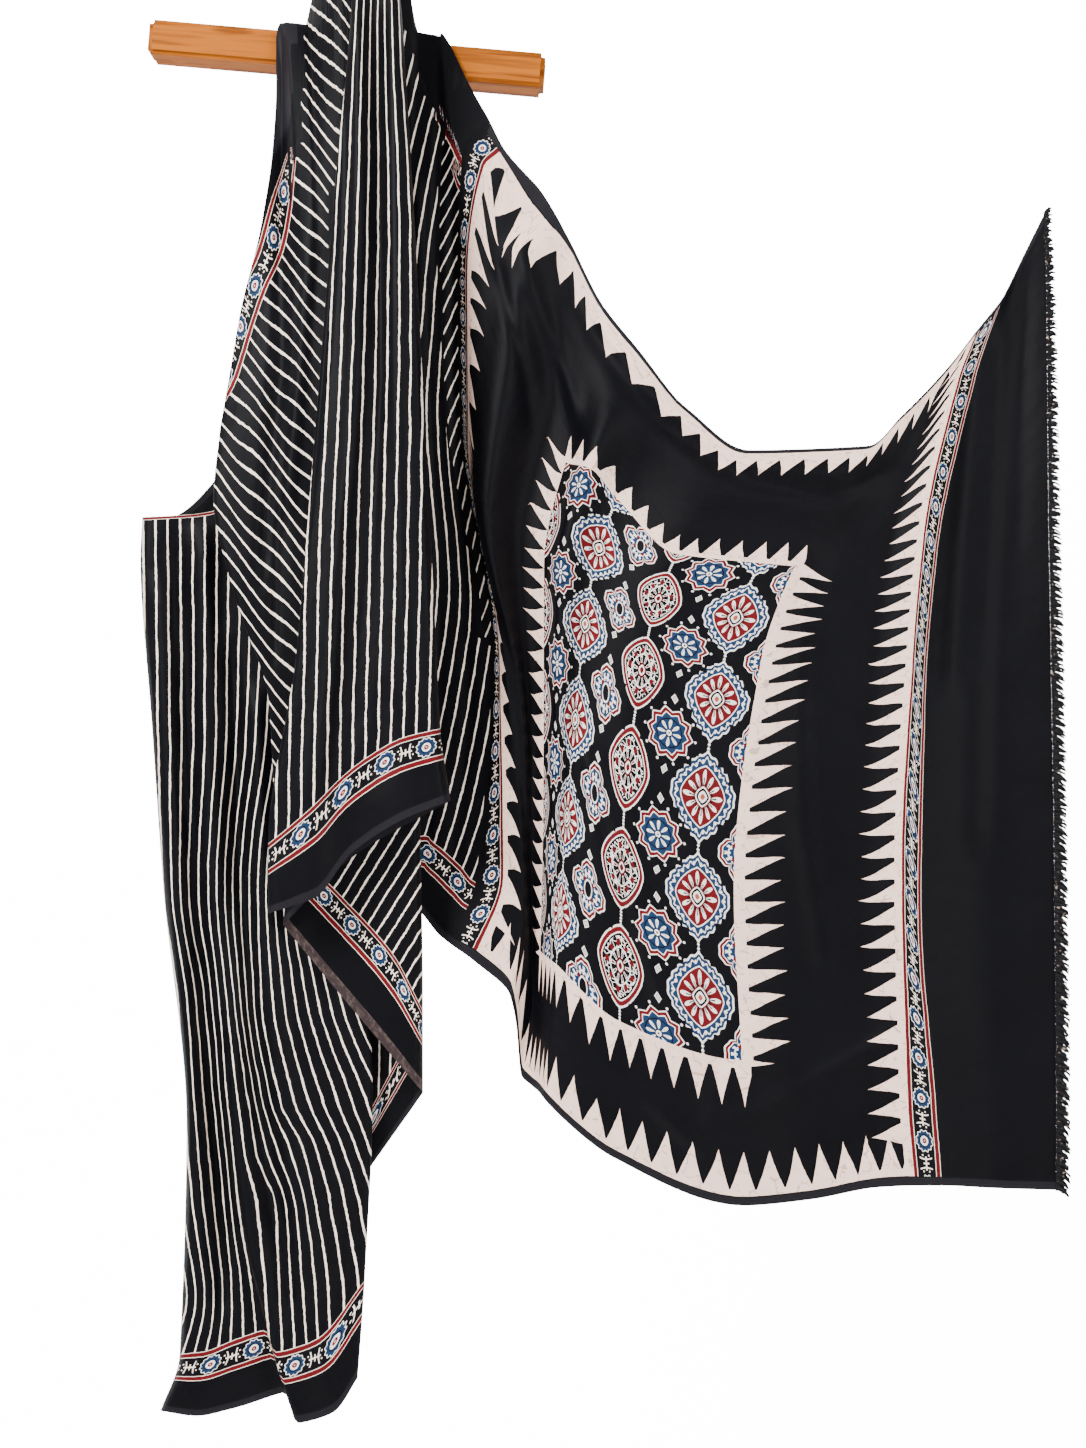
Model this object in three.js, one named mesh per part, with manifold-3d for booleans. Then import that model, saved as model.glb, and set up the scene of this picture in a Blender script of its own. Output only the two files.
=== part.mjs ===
// A printed ajrakh cloth hung in pleats over a short wooden bar, its end panel stretched out to the right.
// Units are millimetres, X to the right, Y away from the viewer and Z up. The origin is the middle of the
// bar's back face, where a wall holds it.
import * as THREE from "three";
import Module from "manifold-3d";

// Sizes
const CLOTH_THICK = 1.5;
const SIGHT = 3000; // places are read off as seen from this far in front
const TURN = 7; // how far a fold's round edge reaches into the cloth
const TURN_RIM = 1.4; // a line this close to a fold keeps its edge round
const COLUMN_STEP = 32; // the usual width between two upright lines of the cloth
const ROW_SHARE = 0.8; // the share of the mean gap between two rows that counts as their distance
const LEAST_ROW = 12; // the least distance between two rows
const BAR_LENGTH = 452;
const BAR_HIGH = 40;
const BAR_DEEP = 60;
const BAR_ROUND = 4;
const BAR_FALL = 40; // the right end sits this much lower than the left end
const BAR_CENTRE = { x: -228, y: 52, z: 778 };
const FRINGE_GAP = 0.9;
const FRINGE_BAND = 3;
const FRINGE_THICK = 2.4;
const TUFT_COUNT = 118;
const TUFT_LONG = 13;
const TUFT_ROOT = 2.2;
const TUFT_TIP = 0.9;
const TUFT_SINK = 0.9; // how deep a tuft's root sits in the band
const TUFT_FALL = 0.75; // how far a tuft's tip drops for each millimetre that it stands out
const TUFT_SWAY = 2.2;
const TUFT_UNEVEN = { long: 0.22, fall: 0.35 };
const TUFT_RHYTHM = { long: 2.3, fall: 1.7, sway: 3.9 };

// Heights across the cloth, from the bottom edge up, at which a line's seven places are given
const STATIONS = [0, 90, 350, 620, 800, 1030, 1120];
const LEVELS = [0, 90, 180, 265, 350, 440, 530, 620, 710, 800, 890, 970, 1010, 1030, 1060, 1120];

// How far back each layer hangs at the five lower stations
const LAYERS = {
  endPanel: [0, 0, 0, 0, 0],
  back: [24, 24, 24, 24, 22],
  leftPanel: [-20, -20, -20, -20, -18],
  underLeft: [-9, -9, -9, -9, -8],
  inner: [3, 3, 3, 3, 2],
  middle: [-34, -34, -34, -34, -31],
  lining: [-47, -47, -47, -47, -43],
  front: [-92, -92, -92, -92, -82],
  behindFront: [-79, -79, -79, -79, -70],
  swag: [-68, -68, -68, -68, -60],
  swagReturn: [-58, -58, -58, -58, -52],
};

// One row for each upright line of the cloth, from the fringed end inwards. "fold" rows are where one
// layer turns into the next. x0 z0 is the place at the bottom edge and x6 z6 at the top edge.
// low, mid and high push the lower, middle and upper cloth back; y5 and y6 are the depths of the two top places.
const NAMES = ["layer", "x0", "z0", "x1", "z1", "x2", "z2", "x3", "z3", "x4", "z4", "x5", "z5", "x6", "z6",
  "low", "mid", "high", "y5", "y6"];
const LINES = [
  ["endPanel", 590, -536, 590, -446, 588, -186, 584, 84, 581, 264, 579, 494, 577, 588, 0, 2, 4, 14, 20],
  ["endPanel", 524, -534, 521, -443, 511, -195, 512, 62, 520, 230, 540, 450, 553, 540, 16, 17, 18, 20, 22],
  ["endPanel", 459, -531, 452, -439, 435, -208, 440, 39, 453, 194, 498, 401, 529, 491, -2, -2, -2, 8, 12],
  ["endPanel", 427, -531, 419, -432, 412, -168, 425, 79, 437, 215, 477, 395, 499, 453, -9, -10, -12, 0, 6],
  ["endPanel", 385, -533, 378, -438, 368, -179, 378, 68, 397, 200, 445, 355, 468, 413, 6, 4, 2, 2, 4],
  ["endPanel", 307, -547, 296, -455, 284, -179, 318, 85, 345, 190, 392, 305, 413, 355, 12, 7, 2, -10, -6],
  ["endPanel", 232, -554, 235, -461, 223, -190, 255, 75, 305, 205, 350, 283, 374, 320, 2, -3, -8, -20, -12],
  ["endPanel", 80, -498, 86, -412, 90, -150, 122, 110, 165, 215, 215, 280, 238, 315, -12, -16, -20, -26, -14],
  ["endPanel", 2, -432, 10, -345, 28, -92, 55, 165, 95, 280, 142, 340, 161, 367, 4, -2, -2, -14, -8],
  ["endPanel", -4, -424, 3, -338, 14, -85, 24, 178, 62, 320, 95, 390, 112, 428, 14, -16, -26, -10, -4],
  ["endPanel", -14, -415, -5, -330, 1, -75, 2, 185, 34, 330, 50, 440, 63, 491, 30, 8, 12, 4, 2],
  ["endPanel", -25, -404, -12, -318, -12, -60, -24, 200, 12, 372, 25, 490, 35, 548, 38, 20, 24, 8, 6],
  ["endPanel", -31, -345, -17, -245, -28, 36, -64, 240, -38, 430, -20, 540, 18, 580, 24, 2, -14, -6, 2],
  ["endPanel", -38, -312, -24, -200, -43, 66, -80, 285, -62, 480, -48, 548, 0, 610, 12, 2, 4, 4, 5],
  ["endPanel", -80, -272, -45, -175, -50, 80, -86, 325, -87, 515, -68, 640, -45, 662, 12, 12, 16, 10, 9],
  ["endPanel", -108, -252, -76, -182, -58, 85, -95, 345, -98, 520, -92, 655, -62, 695, 18, 22, 24, 12, 12],
  ["endPanel", -122, -240, -96, -162, -78, 100, -106, 360, -108, 540, -104, 690, -82, 730, 22, 23, 24, 13, 14],
  ["endPanel", -136, -222, -118, -142, -104, 120, -120, 385, -124, 560, -114, 765, -111, 788, 24, 25, 26, 14, 16],
  ["back", -143, -214, -128, -134, -116, 125, -127, 392, -131, 570, -118, 790, -117, 795, 0, 0, 0, 15, 21],
  ["back", -148, -208, -134, -128, -123, 128, -131, 396, -135, 575, -122, 792, -121, 782, 0, 0, 0, 15, 62],
  ["back", -160, -215, -148, -130, -138, 125, -143, 400, -145, 585, -140, 795, -139, 785, 0, 0, 0, 15, 62],
  ["back", -168, -228, -158, -144, -148, 118, -149, 400, -149, 592, -147, 797, -146, 803, 0, 0, 0, 14, 20],
  ["back", -176, -244, -170, -158, -160, 108, -155, 400, -153, 600, -152, 815, -160, 880, 0, 0, 0, 12, 12],
  ["back", -215, -400, -232, -315, -215, -60, -190, 300, -180, 550, -185, 815, -195, 900, 0, 0, 0, 6, 4],
  ["back", -290, -600, -305, -512, -285, -220, -262, 110, -245, 340, -240, 540, -235, 620, 0, 0, 0, 20, 18],
  ["back", -375, -715, -385, -628, -364, -350, -362, -60, -352, 120, -350, 250, -350, 320, 0, 0, 0, 24, 22],
  ["back", -410, -755, -404, -670, -390, -440, -405, -165, -415, 20, -430, 188, -432, 237, 0, 0, 0, 24, 22],
  ["fold", -440, -790, -418, -725, -410, -460, -437, -185, -450, 0, -463, 185, -461, 238, 0, 0, 0, 0, 0],
  ["leftPanel", -400, -796, -392, -722, -398, -460, -418, -185, -435, 0, -440, 186, -439, 239, -8, -4, 0, -18, -16],
  ["leftPanel", -355, -787, -355, -708, -383, -455, -395, -185, -402, 0, -405, 188, -405, 241, 4, 3, 2, -18, -16],
  ["leftPanel", -297, -769, -320, -697, -368, -450, -364, -185, -374, 0, -378, 192, -378, 245, 8, 6, 3, -18, -16],
  ["leftPanel", -283, -804, -308, -722, -356, -448, -350, -187, -358, 0, -350, 210, -348, 272, -18, -9, 0, -18, -16],
  ["leftPanel", -240, -791, -262, -708, -305, -450, -325, -200, -330, 0, -318, 290, -315, 370, -6, -3, 0, -24, -24],
  ["fold", -213, -752, -205, -640, -196, -432, -205, -190, -225, 0, -240, 310, -240, 400, 0, 0, 0, 0, 0],
  ["underLeft", -245, -700, -238, -610, -230, -415, -238, -175, -252, 15, -262, 325, -262, 415, 0, 0, 0, -15, -15],
  ["fold", -285, -680, -275, -595, -262, -400, -270, -160, -280, 30, -285, 335, -280, 430, 0, 0, 0, 0, 0],
  ["inner", -225, -552, -212, -470, -205, -230, -205, 60, -210, 340, -215, 700, -215, 800, 0, 0, 0, -4, -5],
  ["fold", -138, -424, -138, -330, -142, -80, -152, 200, -165, 450, -190, 788, -198, 895, 0, 0, 0, 0, 0],
  ["middle", -185, -368, -172, -265, -170, -60, -175, 220, -182, 470, -200, 788, -206, 896, 0, 0, 0, -19, -17],
  ["middle", -240, -303, -222, -208, -215, -20, -210, 250, -205, 500, -212, 792, -215, 896, 0, 0, 0, -19, -17],
  ["fold", -299, -231, -290, -140, -275, 40, -262, 300, -250, 550, -236, 800, -230, 893, 0, 0, 0, 0, 0],
  ["lining", -215, -150, -205, -60, -200, 120, -200, 350, -205, 580, -205, 802, -205, 896, 0, 0, 0, -30, -27],
  ["fold", -106, -88, -118, -5, -128, 200, -140, 430, -150, 620, -162, 812, -172, 896, 0, 0, 0, 0, 0],
  ["front", -155, -107, -160, -15, -172, 180, -176, 410, -176, 600, -176, 815, -182, 900, -2, -2, -2, -60, -56],
  ["front", -222, -150, -228, -58, -214, 140, -196, 390, -190, 600, -190, 818, -192, 902, 6, 5, 4, -57, -54],
  ["front", -262, -200, -262, -92, -250, 130, -225, 380, -212, 600, -204, 820, -204, 902, -6, -5, -4, -60, -56],
  ["fold", -316, -218, -316, -138, -284, 80, -262, 340, -242, 590, -221, 818, -216, 899, 0, 0, 0, 0, 0],
  ["behindFront", -265, -150, -262, -80, -245, 110, -230, 360, -220, 590, -210, 815, -208, 896, 0, 0, 0, -50, -47],
  ["fold", -225, -120, -220, -40, -210, 150, -205, 380, -200, 600, -196, 812, -199, 892, 0, 0, 0, 0, 0],
  ["swag", -258, -145, -258, -85, -254, 110, -243, 350, -232, 590, -237, 812, -240, 882, 0, 0, 0, -40, -37],
  ["swag", -266, -150, -266, -90, -264, 100, -257, 330, -252, 560, -258, 806, -262, 850, 0, 0, 0, -14, 6],
  ["swag", -272, -151, -272, -93, -270, 95, -265, 315, -260, 530, -271, 804, -271, 811, 0, 0, 0, 14, 21],
  ["swag", -277, -152, -277, -95, -276, 92, -272, 305, -266, 510, -276, 805, -276, 796, 0, 0, 0, 15, 62],
  ["swag", -282, -153, -282, -97, -282, 88, -281, 295, -276, 495, -294, 807, -294, 797, 0, 0, 0, 15, 62],
  ["swag", -285, -153, -286, -99, -287, 84, -288, 285, -282, 480, -299, 806, -303, 806, 0, 0, 0, 14, 24],
  ["swag", -288, -154, -289, -101, -291, 78, -295, 270, -289, 465, -301, 765, -307, 787, 0, 0, 2, 12, 14],
  ["swag", -291, -154, -292, -105, -296, 68, -303, 252, -295, 447, -301, 680, -307, 730, 0, 0, 4, 0, 8],
  ["swag", -294, -155, -295, -107, -299, 60, -314, 228, -306, 425, -303, 590, -311, 662, 0, 0, 3, -18, -6],
  ["swag", -298, -155, -298, -110, -303, 50, -327, 202, -325, 385, -315, 510, -323, 580, 0, 0, 0, -40, -26],
  ["swag", -302, -155, -303, -115, -308, 35, -341, 175, -352, 322, -342, 430, -349, 470, 0, 0, 0, -50, -44],
  ["fold", -309, -156, -309, -118, -315, 20, -354, 145, -379, 255, -372, 335, -364, 382, 0, 0, 0, 0, 0],
  ["swagReturn", -280, -150, -281, -110, -284, 30, -322, 155, -338, 270, -338, 345, -336, 385, 0, 0, 0, -42, -38],
];

// A smooth run through (a[i], b[i]) that never swings past its points
function smoothRun(a, b) {
  const n = a.length;
  const rise = [];
  for (let i = 0; i < n - 1; i++) rise.push((b[i + 1] - b[i]) / (a[i + 1] - a[i]));
  const slope = [rise[0]];
  for (let i = 1; i < n - 1; i++) {
    const p = rise[i - 1];
    const q = rise[i];
    slope.push(p * q <= 0 ? 0 : (3 * p * q) / (p + q + Math.max(p, q) * Math.sign(p)));
  }
  slope.push(rise[n - 2]);
  return (t) => {
    if (n === 1 || t <= a[0]) return b[0];
    if (t >= a[n - 1]) return b[n - 1];
    let i = 0;
    while (t > a[i + 1]) i++;
    const h = a[i + 1] - a[i];
    const s = (t - a[i]) / h;
    const s2 = s * s;
    const s3 = s2 * s;
    return (2 * s3 - 3 * s2 + 1) * b[i] + (s3 - 2 * s2 + s) * h * slope[i]
      + (3 * s2 - 2 * s3) * b[i + 1] + (s3 - s2) * h * slope[i + 1];
  };
}

function named(values) {
  const row = Object.fromEntries(NAMES.map((name, i) => [name, values[i]]));
  row.x = STATIONS.map((_, k) => row["x" + k]);
  row.z = STATIONS.map((_, k) => row["z" + k]);
  if (row.layer !== "fold") {
    const base = LAYERS[row.layer];
    const push = [row.low, row.low, row.mid, row.high, row.high];
    row.y = base.map((v, k) => v + push[k]).concat([row.y5, row.y6]);
  }
  return row;
}

// The rows between one fold and the next, each with the fold rows at its two ends
function splitLayers(rows) {
  const layers = [];
  let run = [];
  for (const row of rows) {
    run.push(row);
    if (row.layer === "fold") {
      layers.push(run);
      run = [row];
    }
  }
  layers.push(run);
  return layers;
}

// Where the upright lines of one layer stand, as distances along the layer, closer together at a fold
function lineSteps(total, foldAtStart, foldAtEnd, knots) {
  const marks = [0, total];
  if (foldAtStart) marks.push(TURN_RIM, TURN);
  if (foldAtEnd) marks.push(total - TURN_RIM, total - TURN);
  for (const k of knots) if (k > TURN * 2 && k < total - TURN * 2) marks.push(k);
  marks.sort((p, q) => p - q);
  const steps = [];
  for (let i = 0; i < marks.length - 1; i++) {
    const parts = Math.max(1, Math.round((marks[i + 1] - marks[i]) / COLUMN_STEP));
    for (let j = 0; j < parts; j++) steps.push(marks[i] + ((marks[i + 1] - marks[i]) * j) / parts);
  }
  steps.push(total);
  return steps;
}

// The share of a fold's turn that is left at this distance from the fold
function turnLeft(distance) {
  const r = Math.min(1, Math.max(0, 1 - distance / TURN));
  return 1 - Math.sqrt(1 - r * r);
}

function layerColumns(rows, depthAtStart, depthAtEnd) {
  const foldAtStart = rows[0].layer === "fold";
  const foldAtEnd = rows[rows.length - 1].layer === "fold";
  const along = [0];
  for (let i = 1; i < rows.length; i++) {
    let gap = 0;
    for (let k = 0; k < STATIONS.length; k++) {
      gap += Math.hypot(rows[i].x[k] - rows[i - 1].x[k], rows[i].z[k] - rows[i - 1].z[k]) / STATIONS.length;
    }
    along.push(along[i - 1] + Math.max(gap * ROW_SHARE, LEAST_ROW));
  }
  const total = along[along.length - 1];
  const inner = rows.map((row, i) => ({ row, s: along[i] })).filter((e) => e.row.layer !== "fold");
  const runs = STATIONS.map((_, k) => ({
    x: smoothRun(along, rows.map((r) => r.x[k])),
    z: smoothRun(along, rows.map((r) => r.z[k])),
    y: inner.length > 1 ? smoothRun(inner.map((e) => e.s), inner.map((e) => e.row.y[k])) : () => inner[0].row.y[k],
  }));
  return lineSteps(total, foldAtStart, foldAtEnd, along.slice(1, -1)).map((s) =>
    runs.map((run, k) => {
      let y = run.y(s);
      if (foldAtStart) y += (depthAtStart[k] - y) * turnLeft(s);
      if (foldAtEnd) y += (depthAtEnd[k] - y) * turnLeft(total - s);
      return [run.x(s), y, run.z(s)];
    }));
}

function clothGrid() {
  const layers = splitLayers(LINES.map(named));
  const depthBetween = [];
  for (let i = 0; i < layers.length - 1; i++) {
    const before = layers[i][layers[i].length - 2];
    const after = layers[i + 1][1];
    depthBetween.push(before.y.map((v, k) => (v + after.y[k]) / 2));
  }
  const columns = [];
  layers.forEach((rows, i) => {
    const part = layerColumns(rows, depthBetween[i - 1], depthBetween[i]);
    columns.push(...(i ? part.slice(1) : part));
  });
  return columns.map((places) => {
    const x = smoothRun(STATIONS, places.map((p) => p[0]));
    const y = smoothRun(STATIONS, places.map((p) => p[1]));
    const z = smoothRun(STATIONS, places.map((p) => p[2]));
    return LEVELS.map((v) => asBuilt(x(v), y(v), z(v)));
  });
}

// From a place as seen at the distance SIGHT to its true place, measured from the bar's back face
function asBuilt(x, y, z) {
  const spread = 1 + y / SIGHT;
  return new THREE.Vector3(x * spread - BAR_CENTRE.x, y - BAR_CENTRE.y - BAR_DEEP / 2, z * spread - BAR_CENTRE.z);
}

function gridNormals(grid) {
  const last = grid.length - 1;
  const top = grid[0].length - 1;
  return grid.map((column, i) => column.map((_, j) => {
    const across = new THREE.Vector3().subVectors(grid[Math.min(i + 1, last)][j], grid[Math.max(i - 1, 0)][j]);
    const up = new THREE.Vector3().subVectors(column[Math.min(j + 1, top)], column[Math.max(j - 1, 0)]);
    return across.cross(up).normalize();
  }));
}

// A closed sheet of even thickness on a grid of places
function sheetSolid(grid, thick) {
  const normals = gridNormals(grid);
  const n = grid.length;
  const m = grid[0].length;
  const places = [];
  for (const side of [1, -1]) {
    for (let i = 0; i < n; i++) {
      for (let j = 0; j < m; j++) {
        const p = grid[i][j].clone().addScaledVector(normals[i][j], (side * thick) / 2);
        places.push(p.x, p.y, p.z);
      }
    }
  }
  const index = [];
  const at = (side, i, j) => side * n * m + i * m + j;
  const quad = (a, b, c, d) => index.push(a, b, c, a, c, d);
  for (let i = 0; i < n - 1; i++) {
    for (let j = 0; j < m - 1; j++) {
      const rising = grid[i][j].distanceTo(grid[i + 1][j + 1]) < grid[i + 1][j].distanceTo(grid[i][j + 1]);
      const front = [at(0, i, j), at(0, i + 1, j), at(0, i + 1, j + 1), at(0, i, j + 1)];
      const rear = [at(1, i, j), at(1, i, j + 1), at(1, i + 1, j + 1), at(1, i + 1, j)];
      for (const [a, b, c, d] of [front, rear]) {
        if (rising) quad(a, b, c, d);
        else quad(b, c, d, a);
      }
    }
    quad(at(1, i, 0), at(1, i + 1, 0), at(0, i + 1, 0), at(0, i, 0));
    quad(at(0, i, m - 1), at(0, i + 1, m - 1), at(1, i + 1, m - 1), at(1, i, m - 1));
  }
  for (let j = 0; j < m - 1; j++) {
    quad(at(0, 0, j), at(0, 0, j + 1), at(1, 0, j + 1), at(1, 0, j));
    quad(at(1, n - 1, j), at(1, n - 1, j + 1), at(0, n - 1, j + 1), at(0, n - 1, j));
  }
  const body = new THREE.BufferGeometry();
  body.setAttribute("position", new THREE.Float32BufferAttribute(places, 3));
  body.setIndex(index);
  return body;
}

const wasm = await Module();
wasm.setup();
const { Manifold, Mesh: SolidMesh } = wasm;

function toSolid(geometry) {
  return new Manifold(new SolidMesh({
    numProp: 3,
    vertProperties: new Float32Array(geometry.attributes.position.array),
    triVerts: new Uint32Array(geometry.index.array),
  }));
}

function toGeometry(solid) {
  const mesh = solid.getMesh();
  const body = new THREE.BufferGeometry();
  body.setAttribute("position", new THREE.BufferAttribute(Float32Array.from(mesh.vertProperties), 3));
  body.setIndex(new THREE.BufferAttribute(Uint32Array.from(mesh.triVerts), 1));
  return body;
}

// The bar, with its long edges rounded
function barSolid() {
  const y = BAR_DEEP / 2 - BAR_ROUND;
  const z = BAR_HIGH / 2 - BAR_ROUND;
  const outline = [];
  for (const [cy, cz, start] of [[y, z, 0], [-y, z, 90], [-y, -z, 180], [y, -z, 270]]) {
    for (const step of [0, 30, 60, 90]) {
      const a = ((start + step) * Math.PI) / 180;
      outline.push([cy + BAR_ROUND * Math.cos(a), cz + BAR_ROUND * Math.sin(a)]);
    }
  }
  const fall = Math.atan2(BAR_FALL, BAR_LENGTH);
  const prism = Manifold.extrude([outline], BAR_LENGTH, 0, 0, [1, 1], true);
  const lying = prism.transform([0, 1, 0, 0, 0, 0, 1, 0, 1, 0, 0, 0, 0, 0, 0, 1]);
  return lying.rotate([0, (fall * 180) / Math.PI, 0]).translate([0, -BAR_DEEP / 2, 0]);
}

// A band along the cloth's free end with short tufts standing out of it, slanting down
function fringeSolid(edge, outward) {
  const total = edge.length - 1;
  const spot = (t) => {
    const i = Math.min(total - 1, Math.floor(t * total));
    const s = t * total - i;
    return {
      place: new THREE.Vector3().lerpVectors(edge[i], edge[i + 1], s),
      out: new THREE.Vector3().lerpVectors(outward[i], outward[i + 1], s).normalize(),
    };
  };
  const side = new THREE.Vector3(0, 1, 0);
  const strip = edge.map((p, i) => {
    const near = p.clone().addScaledVector(outward[i], FRINGE_GAP);
    return [near, near.clone().addScaledVector(outward[i], FRINGE_BAND)];
  });
  const band = toSolid(sheetSolid(strip, FRINGE_THICK));
  const tufts = [];
  for (let n = 0; n < TUFT_COUNT; n++) {
    const t = (n + 0.5) / TUFT_COUNT;
    const { place, out } = spot(t);
    const long = TUFT_LONG * (1 + TUFT_UNEVEN.long * Math.sin(n * TUFT_RHYTHM.long));
    const fall = TUFT_FALL + TUFT_UNEVEN.fall * Math.sin(n * TUFT_RHYTHM.fall);
    const sway = TUFT_SWAY * Math.sin(n * TUFT_RHYTHM.sway);
    const root = place.clone().addScaledVector(out, FRINGE_GAP + FRINGE_BAND - TUFT_SINK);
    const tip = root.clone().addScaledVector(out, long).add(new THREE.Vector3(0, sway, -long * fall));
    const along = tip.clone().sub(root).normalize();
    const wide = new THREE.Vector3().crossVectors(along, side).normalize();
    const points = [];
    for (const [centre, size] of [[root, TUFT_ROOT], [tip, TUFT_TIP]]) {
      for (const a of [30, 150, 270]) {
        const r = (a * Math.PI) / 180;
        const p = centre.clone().addScaledVector(wide, (size / 2) * Math.cos(r));
        p.addScaledVector(side, (size / 2) * Math.sin(r));
        points.push([p.x, p.y, p.z]);
      }
    }
    tufts.push(Manifold.hull(points));
  }
  return Manifold.union([band, ...tufts]);
}

const group = new THREE.Group();

function add(name, geometry, color, roughness) {
  const mesh = new THREE.Mesh(geometry, new THREE.MeshStandardMaterial({ color, roughness, metalness: 0 }));
  mesh.name = name;
  group.add(mesh);
}

const grid = clothGrid();
const pastEdge = grid[0].map((p, j) => {
  const d = new THREE.Vector3().subVectors(p, grid[1][j]);
  d.y = 0;
  return d.normalize();
});

add("printed_cloth", toGeometry(toSolid(sheetSolid(grid, CLOTH_THICK))), 0x1b1b22, 0.6);
add("end_fringe", toGeometry(fringeSolid(grid[0], pastEdge)), 0x17161a, 0.8);
add("wooden_bar", toGeometry(barSolid()), 0xc98a45, 0.55);

export default group;
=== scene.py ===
"""A block-printed ajrakh saree cloth in pleats over a short wooden bar, its end panel drawn to the right.

Lengths in the tables are millimetres as seen in the picture plane, 3 m in front of the camera, with x to the
right and z up from the picture's middle. Depth y is measured back from that plane.
"""
import math

import bmesh
import bpy
import numpy as np
from mathutils import Matrix


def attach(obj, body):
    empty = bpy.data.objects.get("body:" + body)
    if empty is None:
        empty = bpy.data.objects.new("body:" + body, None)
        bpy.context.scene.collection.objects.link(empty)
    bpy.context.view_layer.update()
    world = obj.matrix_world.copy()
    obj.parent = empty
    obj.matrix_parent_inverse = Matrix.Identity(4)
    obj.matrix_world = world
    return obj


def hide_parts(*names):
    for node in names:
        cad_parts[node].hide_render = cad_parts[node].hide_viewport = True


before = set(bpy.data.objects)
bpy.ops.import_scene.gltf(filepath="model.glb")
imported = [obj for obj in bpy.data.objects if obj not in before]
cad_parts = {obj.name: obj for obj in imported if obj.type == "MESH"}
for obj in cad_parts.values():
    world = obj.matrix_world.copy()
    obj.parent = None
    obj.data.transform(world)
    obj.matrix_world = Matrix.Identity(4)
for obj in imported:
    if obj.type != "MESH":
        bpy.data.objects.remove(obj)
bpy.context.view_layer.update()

MM = 0.001
SIGHT = 3000.0
BAR = {"x": -228.0, "y": 82.0, "z": 778.0}  # the bar's back face, where the frame has its origin
PICTURE = {"high": 1448, "mm_per_px": 1.15}


def add(name, data):
    """A new object in the scene."""
    piece = bpy.data.objects.new(name, data)
    bpy.context.scene.collection.objects.link(piece)
    return piece


# Camera, at the middle of the picture and square to it
camera_data = bpy.data.cameras.new("camera")
camera_data.sensor_fit = "VERTICAL"
camera_data.angle = 2 * math.atan(PICTURE["high"] / 2 * PICTURE["mm_per_px"] / SIGHT)
camera = add("camera", camera_data)
camera.location = (-BAR["x"] * MM, -(SIGHT + BAR["y"]) * MM, -BAR["z"] * MM)
camera.rotation_euler = (math.pi / 2, 0, 0)
bpy.context.scene.camera = camera

# Shape of the cloth
STATIONS = np.array([0, 90, 350, 620, 800, 1030, 1120.0])  # on each upright line, up from the lower hem
WIDTH = 1120.0
TURN = 7.0  # how far from a fold its round turn reaches
ROW_SHARE = 0.8
LEAST_ROW = 12.0
COLUMN_STEP = 6.0
LEVEL_STEP = 6.2
STRIPE_PITCH = 14.5
BACK_PRINT = 1.1  # print in a millimetre of the cloth behind the pleats, as seen
DROP_SHARE = 0.35  # how much of a step up or down counts as print along a pleat

# How far back each layer hangs at the four lower stations, and at the fifth
LAYERS = {
    "endPanel": (0, 0), "back": (24, 22), "leftPanel": (-20, -18), "underLeft": (-9, -8), "inner": (3, 2),
    "middle": (-34, -31), "lining": (-47, -43), "front": (-92, -82), "behindFront": (-79, -70),
    "swag": (-68, -60), "swagReturn": (-58, -52),
}

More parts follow.
